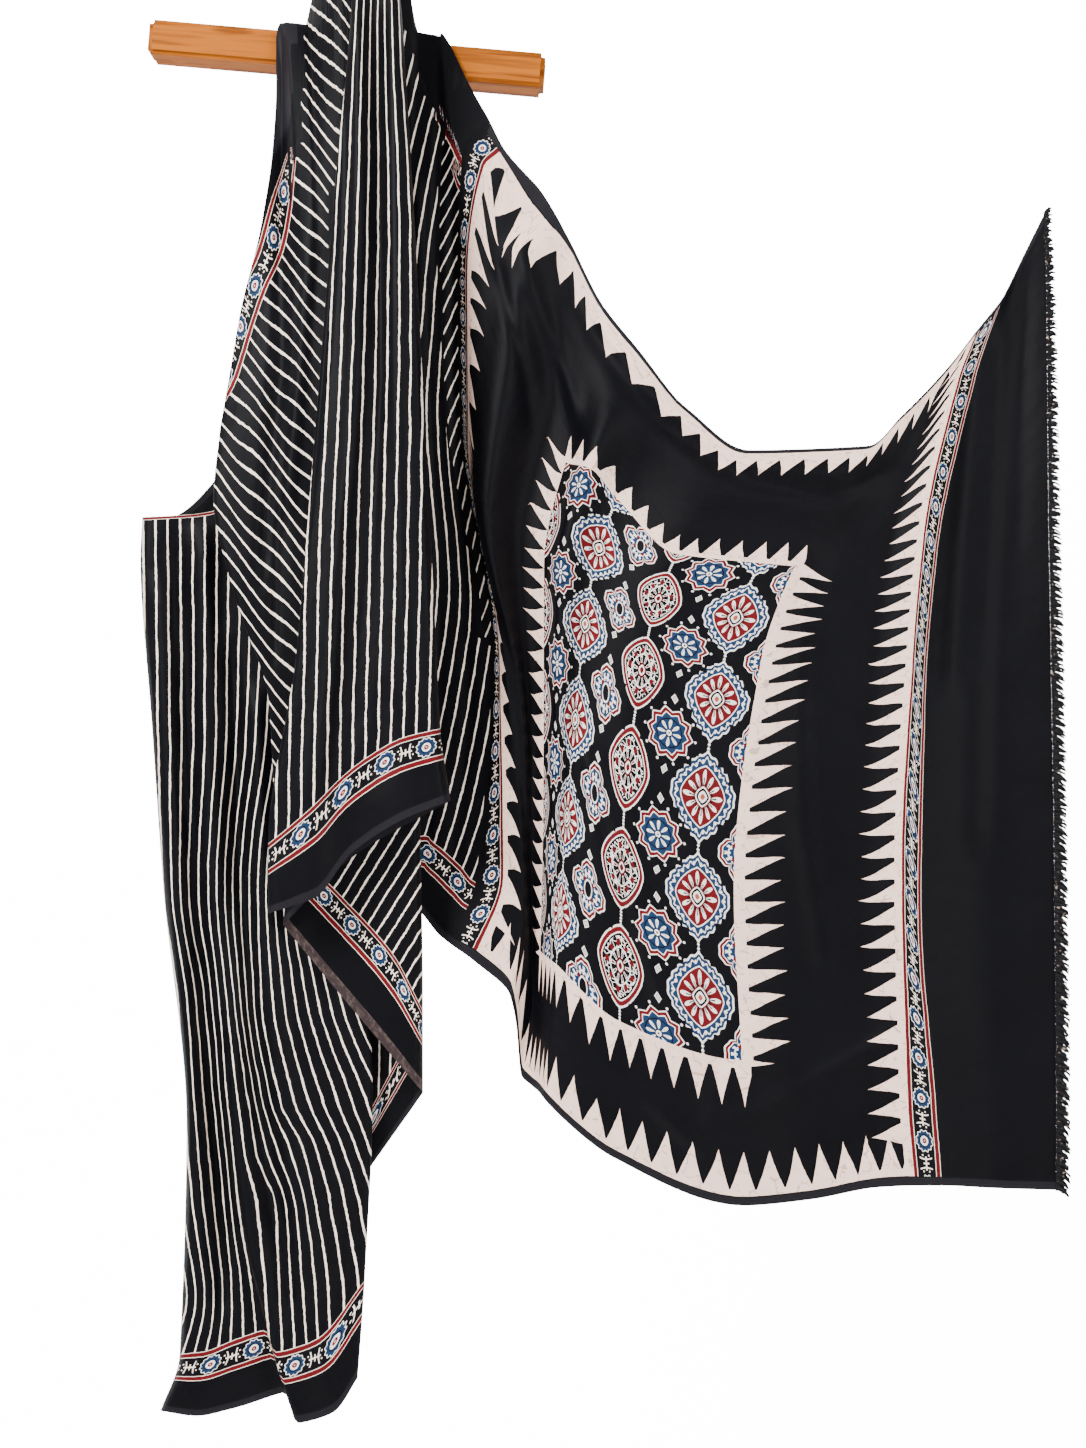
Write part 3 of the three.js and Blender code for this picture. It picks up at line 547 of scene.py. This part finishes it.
class Stuff:
    """A material whose colour is built up in layers of print on a ground."""

    def __init__(self, name):
        self.material = bpy.data.materials.new(name)
        self.material.use_nodes = True
        self.tree = self.material.node_tree
        self.shader = self.tree.nodes["Principled BSDF"]
        self.colour = None

    def node(self, kind, **values):
        n = self.tree.nodes.new(kind)
        for key, value in values.items():
            setattr(n, key, value)
        return n

    def put(self, socket, value):
        if isinstance(value, Num):
            self.tree.links.new(value.socket, socket)
        elif hasattr(value, "is_linked"):
            self.tree.links.new(value, socket)
        else:
            socket.default_value = value

    def surface(self, values):
        """Put a value or a socket on each of the shader's inputs named."""
        for name, value in values.items():
            self.put(self.shader.inputs[name], value)

    def math(self, operation, a, b=None):
        n = self.node("ShaderNodeMath", operation=operation)
        self.put(n.inputs[0], a)
        if b is not None:
            self.put(n.inputs[1], b)
        return Num(self, n.outputs[0])

    def angle(self, y, x):
        return self.math("ARCTAN2", y, x)

    def noise(self, vector, scale, detail=2.0, rough=0.5):
        n = self.node("ShaderNodeTexNoise")
        self.put(n.inputs["Vector"], vector)
        n.inputs["Scale"].default_value = scale
        n.inputs["Detail"].default_value = detail
        n.inputs["Roughness"].default_value = rough
        return n

    def grey(self, *values):
        """A noise's grey value as a number."""
        return Num(self, self.noise(*values).outputs[0])

    def cells(self, vector, scale, feature="DISTANCE_TO_EDGE"):
        """Distance from the edge, or the middle, of a pattern of cells."""
        n = self.node("ShaderNodeTexVoronoi", feature=feature)
        self.put(n.inputs["Vector"], vector)
        n.inputs["Scale"].default_value = scale
        return Num(self, n.outputs["Distance"])

    def mapped(self, vector, scale=(1, 1, 1), turn=0.0):
        n = self.node("ShaderNodeMapping")
        self.put(n.inputs[0], vector)
        n.inputs["Rotation"].default_value = (0, turn, 0)
        n.inputs["Scale"].default_value = scale
        return n.outputs[0]

    def bump(self, height, strength):
        """Relief of a height in metres."""
        n = self.node("ShaderNodeBump")
        n.inputs["Strength"].default_value = strength
        n.inputs["Distance"].default_value = 1.0
        self.put(n.inputs["Height"], height)
        self.surface({"Normal": n.outputs[0]})

    def uv(self):
        return self.node("ShaderNodeUVMap", uv_map="print").outputs[0]

    def split(self, vector):
        n = self.node("ShaderNodeSeparateXYZ")
        self.put(n.inputs[0], vector)
        return Num(self, n.outputs[0]), Num(self, n.outputs[1])

    def wobbly(self, amount):
        """Print coordinates in millimetres, shaken a little as hand-set blocks shake them."""
        uv = self.uv()
        u, v = self.split(uv)
        (fine_scale, fine), (wide_scale, wide) = SHAKES
        fu, fv = self.split(self.noise(uv, fine_scale, 1.0).outputs["Color"])
        wu, wv = self.split(self.noise(uv, wide_scale, 1.0).outputs["Color"])
        u = u * 1000 + ((fu - 0.5) * fine + (wu - 0.5) * wide) * amount
        v = v * 1000 + ((fv - 0.5) * fine + (wv - 0.5) * wide) * amount
        return u, v

    def mix(self, share, a, b):
        n = self.node("ShaderNodeMix", data_type="RGBA")
        self.put(n.inputs[0], share)
        self.put(n.inputs[6], a)
        self.put(n.inputs[7], b)
        return n.outputs[2]

    def print(self, colour, share):
        self.colour = self.mix(share, self.colour, colour)

    def rings(self, distance, *steps):
        """Discs one on another, each a colour and how far it reaches."""
        for colour, reach in steps:
            self.print(colour, distance < reach)


BLACK = (0.0009, 0.0009, 0.0020, 1)
INK = (0.0012, 0.0012, 0.0022, 1)
CREAM = (0.96, 0.67, 0.55, 1)
CREAM_STAIN = (0.62, 0.43, 0.36, 1)
CRACKLE = (0.25, 0.14, 0.11, 1)
LINE_CREAM = (1.0, 0.84, 0.72, 1)
WHITE = (0.86, 0.79, 0.74, 1)
RED = (0.115, 0.0035, 0.006, 1)
PINK = (0.75, 0.30, 0.28, 1)
BLUE = (0.008, 0.027, 0.075, 1)
ORANGE = (0.36, 0.07, 0.035, 1)
WORN = (0.03, 0.03, 0.04, 1)
HEM_GREY = (0.0095, 0.0085, 0.0110, 1)
HEM_THREAD = (0.0025, 0.0025, 0.0035, 1)
WRONG_SIDE = (0.030, 0.020, 0.020, 1)
# painted highlight on the crumples of the turned-up hem's wrong side
WRONG_SIDE_HIGHLIGHT = (0.085, 0.060, 0.057, 1)

SHAKES = ((160.0, 1.5), (22.0, 3.0))  # scale of a noise, and the millimetres by which it shakes the print
STRIPE_HALF = 1.1
STRIP_WIDE = 40.0
STRIP_CREAM = (0.0, 7.0)
STRIP_RED = (0.8, 6.1)
MEDALLION_PITCH = 47.5
MEDALLION_RADIUS = 11.6
RIM_PITCH = 27.0
RIM_EDGE = 14.0  # from the long edge to where the rim's teeth stand, and twice as far at the upper edge
PANEL_PITCH = 25.0
HEM = 50.0
HEM_TURN = 10.0
HEM_PRINT = 8.0  # the rim's cream begins this far in
TURN_UP_WIDE = 15.0
BORDER_TOP = 90.0
COLUMN = {"pitch": 95.0, "first": 394.0, "between": 441.5}
ROW = {"pitch": 112.0, "first": 223.0, "between": 279.0}


def cloth_stuff(name, print_on, *values, shake=0.6):
    """A material of the cloth: black ground, print, weave, sheen and small creases."""
    m = Stuff(name)
    m.colour = m.mix(0.0, BLACK, BLACK)
    print_on(m, *m.wobbly(shake), *values)
    uv = m.uv()
    patch = m.grey(uv, 9.0, 3.0)
    u, v = m.split(uv)
    weave = (u * (2 * math.pi / 0.0011)).sin() * (v * (2 * math.pi / 0.0009)).sin()
    creases = m.grey(uv, 26.0, 2.0, 0.55)
    slub = m.grey(m.mapped(uv, (900.0, 25.0, 1.0)), 1.0, 1.0)
    m.bump(weave * 0.00003 + creases * 0.0018 + slub * 0.00008, 0.55)
    m.surface({"Base Color": m.mix((patch - 0.4) * 0.1, m.colour, WORN), "Roughness": patch * 0.12 + 0.48,
               "Specular IOR Level": 0.08, "Sheen Weight": 0.01, "Sheen Roughness": 0.4,
               "Sheen Tint": (0.75, 0.8, 1.0, 1)})
    return m.material


def mark_hem(m, edge):
    """A turned-up hem, a little greyer, with its line of small stitches."""
    m.print(HEM_GREY, edge < HEM_TURN)
    m.print(HEM_THREAD, edge.between(HEM_TURN - 1.0, HEM_TURN + 0.2))


def print_strip(m, s, t):
    """A border strip: s runs across it from 0 to STRIP_WIDE and t along it. Lines along each side, scalloped
    medallions, and between each two a sign of two uprights, a bar, a stem and dots."""
    edge = s.low(STRIP_WIDE - s)
    m.print(INK, s.between(0.0, STRIP_WIDE))
    m.print(LINE_CREAM, edge.between(*STRIP_CREAM))
    m.print(RED, edge.between(*STRIP_RED))
    c = s - STRIP_WIDE / 2
    along = t.offset(MEDALLION_PITCH)
    r = (c * c + along * along).sqrt()
    scallop = r + (m.angle(c, along) * 12).cos() * 0.8
    m.rings(scallop, (WHITE, MEDALLION_RADIUS), (BLUE, MEDALLION_RADIUS - 1.2))
    m.print(INK, abs(r - 6.6) < 0.45)
    m.rings(r, (WHITE, 5.3), (RED, 2.9), (PINK, 1.1))
    w, h = abs(t.offset(MEDALLION_PITCH, MEDALLION_PITCH / 2)), abs(c)
    uprights = (abs(w - 4.4 - h * h * 0.02) < 0.75) * (h < 8.6)
    bar = (h < 0.9) * (w < 7.2)
    stem = (w < 0.8) * (h < 4.0)
    up, out = h - 4.2, w - 8.4
    m.print(LINE_CREAM, uprights.top(bar.top(stem)).top(up * up + out * out < 1.0))


def teeth(m, distance, t, long, pitch):
    """Pointed teeth standing on a line: distance is measured from it, t along it."""
    shake = m.grey(m.uv(), 30.0, 0.0)
    share = abs(t.offset(pitch)) / (pitch / 2)
    reach = (1 - share ** 0.9) * long * (0.88 + shake * 0.24) + 1.0
    return (distance > -0.5) * (distance < reach)


def print_cream(m, mask):
    """Cream print with its faint brown crackle."""
    uv = m.uv()
    v = m.node("ShaderNodeVectorMath", operation="MULTIPLY_ADD")
    m.put(v.inputs[0], m.noise(uv, 60.0, 2.0).outputs["Color"])
    v.inputs[1].default_value = (0.012, 0.012, 0)
    m.put(v.inputs[2], uv)
    line = m.cells(v.outputs[0], 55.0)
    stain = m.grey(uv, 90.0, 3.0)
    tone = m.mix((stain - 0.45) * 1.1, CREAM, CREAM_STAIN)
    tone = m.mix((line < 0.025) * (stain > 0.5) * 0.5, tone, CRACKLE)
    m.colour = m.mix(mask, m.colour, tone)


def edge_of(v):
    """Distance from the nearer long edge."""
    return v.low(WIDTH - v)


def stripes(m, u):
    gap = m.grey(m.uv(), 45.0, 1.0)
    return abs(u.offset(STRIPE_PITCH)) < STRIPE_HALF + (gap - 0.5) * 1.2


def plain_print(m, u, v):
    mark_hem(m, edge_of(v))


def striped_print(m, u, v):
    m.print(LINE_CREAM, stripes(m, u))


def bordered_print(m, u, v):
    """The stripes, and the border strip along each long edge."""
    edge = edge_of(v)
    m.print(LINE_CREAM, stripes(m, u) * (edge > BORDER_TOP))
    mark_hem(m, edge)
    print_strip(m, edge - HEM, u)


def end_strip_print(m, u, v, right, left, tooth_side, tooth_pitch):
    """A strip across the cloth with cream teeth on one side of it."""
    edge = edge_of(v)
    away = (u - (left if tooth_side > 0 else right)) * tooth_side
    band = (teeth(m, away, v, 46.0, tooth_pitch) * (edge > 40.0)).top(away.between(0.0, 9.0))
    print_cream(m, band)
    print_strip(m, (u - right) * (STRIP_WIDE / (left - right)), v)
    rim = teeth(m, edge - RIM_EDGE, u, 38.0, RIM_PITCH).top(edge.between(HEM_PRINT, RIM_EDGE + 4.0))
    print_cream(m, rim * (away > -1.0))
    mark_hem(m, edge)


def rim_print(m, u, v):
    """Cream teeth along the long edges and round the middle panel."""
    edge = edge_of(v)
    start = (v > WIDTH / 2) * RIM_EDGE + RIM_EDGE
    mask = teeth(m, edge - start, u, 44.0, RIM_PITCH).top(edge.between(HEM_PRINT, start + 3.0))
    along_v = v.between(PANEL["low"] - 6, PANEL["high"] + 6)
    along_u = u.between(END["panel"] - 6, END["panel_left"] + 6)
    sides = ((END["panel"] - u, v, 52.0, 9.0, along_v), (u - END["panel_left"], v, 48.0, None, along_v),
             (PANEL["low"] - v, u, 48.0, 8.0, along_u), (v - PANEL["high"], u, 46.0, 8.0, along_u))
    for away, along, long, base, beside in sides:
        side = teeth(m, away, along, long, PANEL_PITCH)
        if base:
            side = side.top(away.between(-4.0, base))
        mask = mask.top(side * beside)
    print_cream(m, mask)
    mark_hem(m, edge)


def motif_place(u, v, column, row):
    return u.offset(COLUMN["pitch"], column), v.offset(ROW["pitch"], row)


def beads(m, x, y, start):
    """A chain of small beads above and below a motif, from start to the middle between two rows."""
    reach = abs(y) - start
    bead = reach.offset(3.6)
    m.print(WHITE, (bead * bead + x * x < 2.4) * (reach > 0.0))


def ogee_print(m, u, v):
    """A pointed medallion: scalloped blue rim, ring of loops, twelve petals on red, ringed eye."""
    x, y = motif_place(u, v, COLUMN["first"], ROW["first"])
    wide, high, power = 38, 51, 1.42
    tall = abs(y) / high
    n = ((abs(x) / wide + tall * tall * 0.10) ** power + tall ** power) ** (1 / power)
    a = m.angle(y / high, x / wide)
    waves, lobes = (a * 22).cos(), (a * 12).cos()
    m.rings(n + waves * 0.022, (WHITE, 1.0), (BLUE, 0.94))
    m.print(WHITE, (abs(n - 0.82 + waves * 0.05) < 0.022) * (n > 0.7))
    m.print(WHITE, (abs(n - 0.80) < 0.05) * (waves > 0.72))
    m.rings(n, (WHITE, 0.69), (RED, 0.655))
    petal = lobes + (n - 0.42) * (n - 0.42) * -30.0
    m.print(WHITE, (petal > 0.05) * n.between(0.2, 0.6))
    m.print(INK, (lobes > 0.86) * n.between(0.24, 0.42))
    m.print(INK, (lobes * -1 > 0.72) * n.between(0.26, 0.33))
    m.rings(n, (WHITE, 0.23), (INK, 0.19), (WHITE, 0.135), (ORANGE, 0.07))
    beads(m, x, y, high - 1.0)


def oval_print(m, u, v):
    """An oval medallion: red rim, fine net and red dots on black, petals round a red eye."""
    x, y = motif_place(u, v, COLUMN["first"] + COLUMN["pitch"], ROW["first"])
    wide, high, power = 31, 47, 1.5
    n = ((abs(x) / wide) ** power + (abs(y) / high) ** power) ** (1 / power)
    a = m.angle(y / high, x / wide)
    petals = (a * 10).cos()
    m.rings(n, (WHITE, 1.0), (RED, 0.945), (WHITE, 0.83), (INK, 0.79))
    m.print(WHITE, (m.cells(m.uv(), 190.0) < 0.075) * n.between(0.44, 0.74))
    m.print(RED, ((a * 9).cos() > 0.35) * n.between(0.50, 0.66))
    m.print(WHITE, abs(n - 0.46) < 0.022)
    m.print(WHITE, (petals > 0.25) * n.between(0.22, 0.42))
    m.print(RED, (petals > 0.7) * n.between(0.25, 0.38))
    m.print(RED, n < 0.2)
    m.print(WHITE, n.between(0.09, 0.15))
    beads(m, x, y, high)


def star_print(m, u, v):
    """A ten-pointed star with a flower of eight petals and a dot off each hollow."""
    x, y = motif_place(u, v, COLUMN["between"], ROW["between"])
    r = (x * x + y * y * 0.92).sqrt()
    a = m.angle(y, x)
    points = 10
    fold = abs((a * (points / (2 * math.pi))).offset(1.0)) * 2
    star = r * (1 + fold * 0.22)
    m.rings(star, (WHITE, 29.0), (RED, 27.2), (WHITE, 23.2), (BLUE, 21.8))
    m.print(INK, abs(r - 15.0) < 0.7)
    petal = (a * 8).cos() - ((r - 9.5) * (r - 9.5)) * 0.035
    m.print(WHITE, (petal > 0.15) * (r < 16.0))
    m.print(BLUE, (petal > 0.72) * r.between(7.5, 11.0) * 0.35)
    m.rings(r, (INK, 4.2), (WHITE, 3.2), (INK, 1.2))
    across, out = fold * r * (math.pi / points), r - 31.5
    m.print(WHITE, across * across + out * out < 2.2)
    leaf(m, x, y)


def leaf(m, x, y):
    """A small leaf above and one below a motif."""
    h = abs(y) - 40.0
    d = abs(x - h * 0.2) / 4.2 + abs(h) / 6.0
    m.print(WHITE, d < 1.0)
    m.print(INK, d.between(0.42, 0.62))
    m.print(INK, d < 0.16)


def lotus_print(m, u, v):
    """A medallion of four lobes round an upright eye, with red between the lobes."""
    x, y = motif_place(u, v, COLUMN["between"] + COLUMN["pitch"], ROW["between"])
    x1, y1 = x / 25, y / 33
    a = m.angle(y1, x1)
    lobe, ripple = abs((a * 2).cos()), (a * 16).cos()
    n = (x1 * x1 + y1 * y1).sqrt() / (0.68 + lobe * 0.32) + ripple * 0.02
    m.rings(n, (WHITE, 1.0), (RED, 0.93), (WHITE, 0.82), (BLUE, 0.77))
    m.print(WHITE, (ripple > 0.25) * n.between(0.42, 0.70))
    m.print(WHITE, abs(n - 0.5) < 0.035)
    m.print(RED, (lobe < 0.35) * n.between(0.3, 0.62))
    x2, y2 = x / 4.8, y / 9.0
    m.rings((x2 * x2 + y2 * y2).sqrt(), (WHITE, 1.25), (INK, 1.0))
    leaf(m, x, y)


def turned_up_print(m, u, v):
    """The grey-brown wrong side of a hem that is turned up, with painted highlights where its crumples would
    catch the light.
    """
    crumple_highlight_noise = m.grey(m.uv(), 130.0, 4.0, 0.65)
    m.print(WRONG_SIDE, crumple_highlight_noise > 0.0)
    # painted highlights: lighter grey-brown where the crumple noise is high
    m.print(WRONG_SIDE_HIGHLIGHT, (crumple_highlight_noise - 0.48).top(0.0) * 5)


CLOTH_STUFF = [
    cloth_stuff("black_cloth", plain_print),
    cloth_stuff("striped_cloth", striped_print, shake=1.0),
    cloth_stuff("bordered_cloth", bordered_print),
    cloth_stuff("first_strip", end_strip_print, END["strip_right"], END["strip_left"], 1, 27.0),
    cloth_stuff("second_strip", end_strip_print, END["second_right"], END["second_left"], -1, 38.0),
    cloth_stuff("toothed_cloth", rim_print),
    *(cloth_stuff(motif.__name__, motif) for motif in (ogee_print, oval_print, star_print, lotus_print)),
    cloth_stuff("turned_up_hem", turned_up_print),
]
PLAIN, STRIPES, BORDERED, FIRST, SECOND, RIM, OGEE, OVAL, STAR, LOTUS, TURN_UP = range(len(CLOTH_STUFF))


def face_stuff(u, v):
    """Which material each face takes, from the print coordinates of its middle."""
    kind = np.where(np.minimum(v, WIDTH - v) < BORDER_TOP + 6, BORDERED, STRIPES)
    for up_to, takes in ((END["second_left"] + 4, SECOND), (END["second_teeth"] - 4, RIM),
                         (END["teeth"] + 8, FIRST), (END["strip_right"] - 4, PLAIN)):
        kind = np.where(u < up_to, takes, kind)
    column = np.round((u - COLUMN["first"]) / COLUMN["pitch"])
    row = np.round((v - ROW["first"]) / ROW["pitch"])
    du = np.abs(u - COLUMN["first"] - column * COLUMN["pitch"])
    dv = np.abs(v - ROW["first"] - row * ROW["pitch"])
    near_main = (du / (COLUMN["pitch"] / 2) + dv / (ROW["pitch"] / 2) < 1.0) | (du < 5.0)
    main = np.where(column % 2 == 0, OGEE, OVAL)
    other = np.where(np.round((u - COLUMN["between"]) / COLUMN["pitch"]) % 2 == 0, STAR, LOTUS)
    panel = (u > END["panel"]) & (u < END["panel_left"]) & (v > PANEL["low"]) & (v < PANEL["high"])
    return np.where(panel, np.where(near_main, main, other), kind)


# A face whose print jumps, where some is folded away, stays plain black. This hides the jump, and the thin
# black line it leaves stands as painted shade along the fold
JUMP = 20
BORDER_JUMP = (1035, 1065)
for stuff in CLOTH_STUFF:
    cloth.data.materials.append(stuff)
corner_u, corner_v = U.ravel()[quads], V.ravel()[quads]
face_u, face_v = corner_u.mean(1), corner_v.mean(1)
crosses = (corner_v.max(1) > BORDER_JUMP[1]) & (corner_v.min(1) < BORDER_JUMP[0])
broken = ((np.ptp(corner_u, axis=1) > JUMP) | crosses) & (face_u > END["second_right"] + 15)
face_kind = np.where(broken, PLAIN, face_stuff(face_u, face_v))
turned_up = (layer_name[quads[:, 0] // high] == "middle") & (face_v < TURN_UP_WIDE)
face_kind = np.where(turned_up, TURN_UP, face_kind)
cloth.data.polygons.foreach_set("material_index", face_kind.astype(np.int32))
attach(cloth, "root")
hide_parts("printed_cloth")

# Fringe
FRINGE = {"count": 400, "long": 15.0, "radius": 2.2, "rings": 7, "sides": 6, "sway": 4.0, "twist": 7}


def fringe_object():
    """Twisted tufts along the free end, each a tapering tube that sways down and out."""
    n = FRINGE["count"]
    k = np.arange(n)
    level = (k + 0.5) / n * WIDTH
    lines = at_level(level).reshape(n, count, 3)
    edge = lines[:, 0]
    past = lines[:, 0] - lines[:, 2]
    past[:, 1] = 0
    past /= np.linalg.norm(past, axis=1)[:, None]
    long = FRINGE["long"] * (1 + 0.08 * np.sin(k * 2.3) + 0.07 * np.sin(k * 5.7))
    fall = 0.55 + 0.14 * np.sin(k * 1.7) + 0.12 * np.sin(k * 0.31)
    sway = FRINGE["sway"] * np.sin(k * 3.9)
    rings, sides = FRINGE["rings"], FRINGE["sides"]
    s = np.linspace(0, 1, rings)[None, :, None]
    out = past[:, None, :]
    drop = np.array([0, 0, -1.0])[None, None, :]
    deep = np.array([0, 1.0, 0])[None, None, :]
    axis = (edge[:, None, :] + out * long[:, None, None] * s + drop * (fall * long)[:, None, None] * s**1.6
            + deep * sway[:, None, None] * s)
    turn = np.linspace(0, 2 * np.pi, sides, endpoint=False)[None, None, :]
    twist = s * FRINGE["twist"] + k[:, None, None]
    radius = FRINGE["radius"] * (1 - 0.25 * s**3) * (1 + 0.28 * np.cos(2 * (turn + twist)))
    wide = np.cross(out, deep)
    tube = (axis[:, :, None, :] + (radius * np.cos(turn))[..., None] * wide[:, :, None, :]
            + (radius * np.sin(turn))[..., None] * deep[:, :, None, :])
    verts = place(tube[..., 0], tube[..., 1], tube[..., 2]).reshape(-1, 3)
    t, r, c = np.meshgrid(k, np.arange(rings - 1), np.arange(sides), indexing="ij")
    base = (t * rings + r) * sides
    a, b = base + c, base + (c + 1) % sides
    faces = np.stack([a, b, b + sides, a + sides], -1).reshape(-1, 4)
    return smooth_piece("fringe_tufts", verts.tolist(), faces.tolist())


YARN = (0.004, 0.0035, 0.005, 1)
YARN_SPECK = (0.30, 0.22, 0.17, 1)


def stuff_yarn():
    m = Stuff("fringe_yarn")
    speck = m.grey(m.node("ShaderNodeTexCoord").outputs["Object"], 240.0, 2.0)
    colour = m.mix(speck > 0.67, YARN, YARN_SPECK)
    m.surface({"Base Color": colour, "Roughness": 0.7, "Specular IOR Level": 0.2})
    return m.material


fringe = fringe_object()
fringe.data.materials.append(stuff_yarn())
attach(fringe, "root")
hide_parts("end_fringe")

# Bar


WOOD = (0.37, 0.10, 0.007, 1)
WOOD_BAND = (0.10, 0.017, 0.0008, 1)
WOOD_PALE = (0.42, 0.13, 0.010, 1)
WOOD_KNOT = (0.05, 0.012, 0.002, 1)
GRAIN_TURN = math.radians(-5.1)


def stuff_wood():
    """Oiled pine: long grain, growth bands and a few knots."""
    m = Stuff("oiled_pine")
    along = m.mapped(m.node("ShaderNodeTexCoord").outputs["Object"], turn=GRAIN_TURN)
    near = m.cells(m.mapped(along, (7.0, 12.0, 14.0)), 1.0, "F1")
    warp = m.grey(m.mapped(along, (2.2, 60.0, 60.0)), 1.0, 4.0, 0.6)
    fine = m.grey(m.mapped(along, (9.0, 420.0, 420.0)), 1.0, 3.0, 0.7)
    swirl = (0.32 - near).top(0.0)
    bands = (warp * 20 + swirl * 30).sin() * 0.5 + 0.5
    m.colour = m.mix(bands * 0.85, WOOD, WOOD_BAND)
    m.print(WOOD_PALE, (fine - 0.35) * 0.9)
    m.print(WOOD_KNOT, (0.11 - near).top(0.0) * 9)
    m.bump(fine * 0.0004 + bands * 0.0003, 0.25)
    m.surface({"Base Color": m.colour, "Roughness": fine * 0.2 + 0.5, "Specular IOR Level": 0.08})
    return m.material


BAR_SIZE = {"long": 461.0, "deep": 60.0, "high": 40.0, "fall": 40.0, "corner": 5.0}
FLAT_FACE = 0.001  # the six sides, in square metres, are larger than this and stay flat


def bar_object():
    """The bar, its edges and corners rounded, the right end lower than the left."""
    mesh = bpy.data.meshes.new("pine_bar")
    b = bmesh.new()
    bmesh.ops.create_cube(b, size=1.0)
    sides = [BAR_SIZE[side] * MM for side in ("long", "deep", "high")]
    bmesh.ops.scale(b, vec=sides, verts=b.verts)
    bmesh.ops.bevel(b, geom=b.edges, offset=BAR_SIZE["corner"] * MM, segments=5, affect="EDGES")
    fall = math.atan2(BAR_SIZE["fall"], BAR_SIZE["long"])
    bmesh.ops.rotate(b, cent=(0, 0, 0), matrix=Matrix.Rotation(fall, 3, "Y"), verts=b.verts)
    bmesh.ops.translate(b, vec=(0, -BAR_SIZE["deep"] / 2 * MM, 0), verts=b.verts)
    b.to_mesh(mesh)
    b.free()
    mesh.polygons.foreach_set("use_smooth", np.array([face.area < FLAT_FACE for face in mesh.polygons]))
    return add("pine_bar", mesh)


bar = bar_object()
bar.data.materials.append(stuff_wood())
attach(bar, "root")
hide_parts("wooden_bar")

# Studio


STAGE_X = (-4.0, 4.5)
PALE = (0.9, 0.9, 0.9, 1)
GLOW = 14.0
FLOOR = [(-4.0, -2.1), (0.8, -2.1)]
BACKDROP = [(0.8, -2.1), (1.05, -2.03), (1.22, -1.85), (1.3, -1.55), (1.3, 2.4)]


def stage_piece(name, profile, glow):
    """A pale sheet along a profile of (y, z) places. A glow shows only to the camera, and from in front."""
    n = len(profile)
    verts = [(a, b, c) for a in STAGE_X for b, c in profile]
    faces = [(i, i + 1, n + i + 1, n + i) for i in range(n - 1)]
    piece = smooth_piece(name, verts, faces)
    m = Stuff("pale_" + name)
    m.surface({"Base Color": PALE, "Roughness": 0.9, "Emission Color": (1, 1, 1, 1),
               "Emission Strength": 0.0})
    if glow:
        seen = m.node("ShaderNodeLightPath").outputs["Is Camera Ray"]
        in_front = m.node("ShaderNodeNewGeometry").outputs["Backfacing"]
        m.surface({"Emission Strength": m.math("MULTIPLY", seen, glow), "Alpha": in_front})
    piece.data.materials.append(m.material)


stage_piece("floor", FLOOR, 0.0)
stage_piece("backdrop", BACKDROP, GLOW)


def area_light(name, at, aim, size, power):
    data = bpy.data.lights.new(name, "AREA")
    data.shape = "RECTANGLE"
    data.size, data.size_y = size
    data.energy = power
    lamp = add(name, data)
    lamp.location = at
    d = np.array(aim) - np.array(at)
    lamp.rotation_euler = (math.acos(-d[2] / np.linalg.norm(d)), 0, math.atan2(d[0], -d[1]) + math.pi)


area_light("key", (-1.9, -2.6, 1.0), (0.2, 0, -0.7), (1.1, 1.1), 260)
area_light("fill", (2.4, -2.4, -0.2), (0.3, 0, -0.7), (1.2, 2.0), 86)
area_light("wall_wash", (0.3, -0.6, 2.3), (0.3, 1.3, -0.6), (3.0, 0.8), 20)
world = bpy.data.worlds.new("studio")
world.use_nodes = True
sky = world.node_tree.nodes["Background"]
sky.inputs["Color"].default_value = (1.0, 1.0, 1.0, 1)
sky.inputs["Strength"].default_value = 0.62
bpy.context.scene.world = world
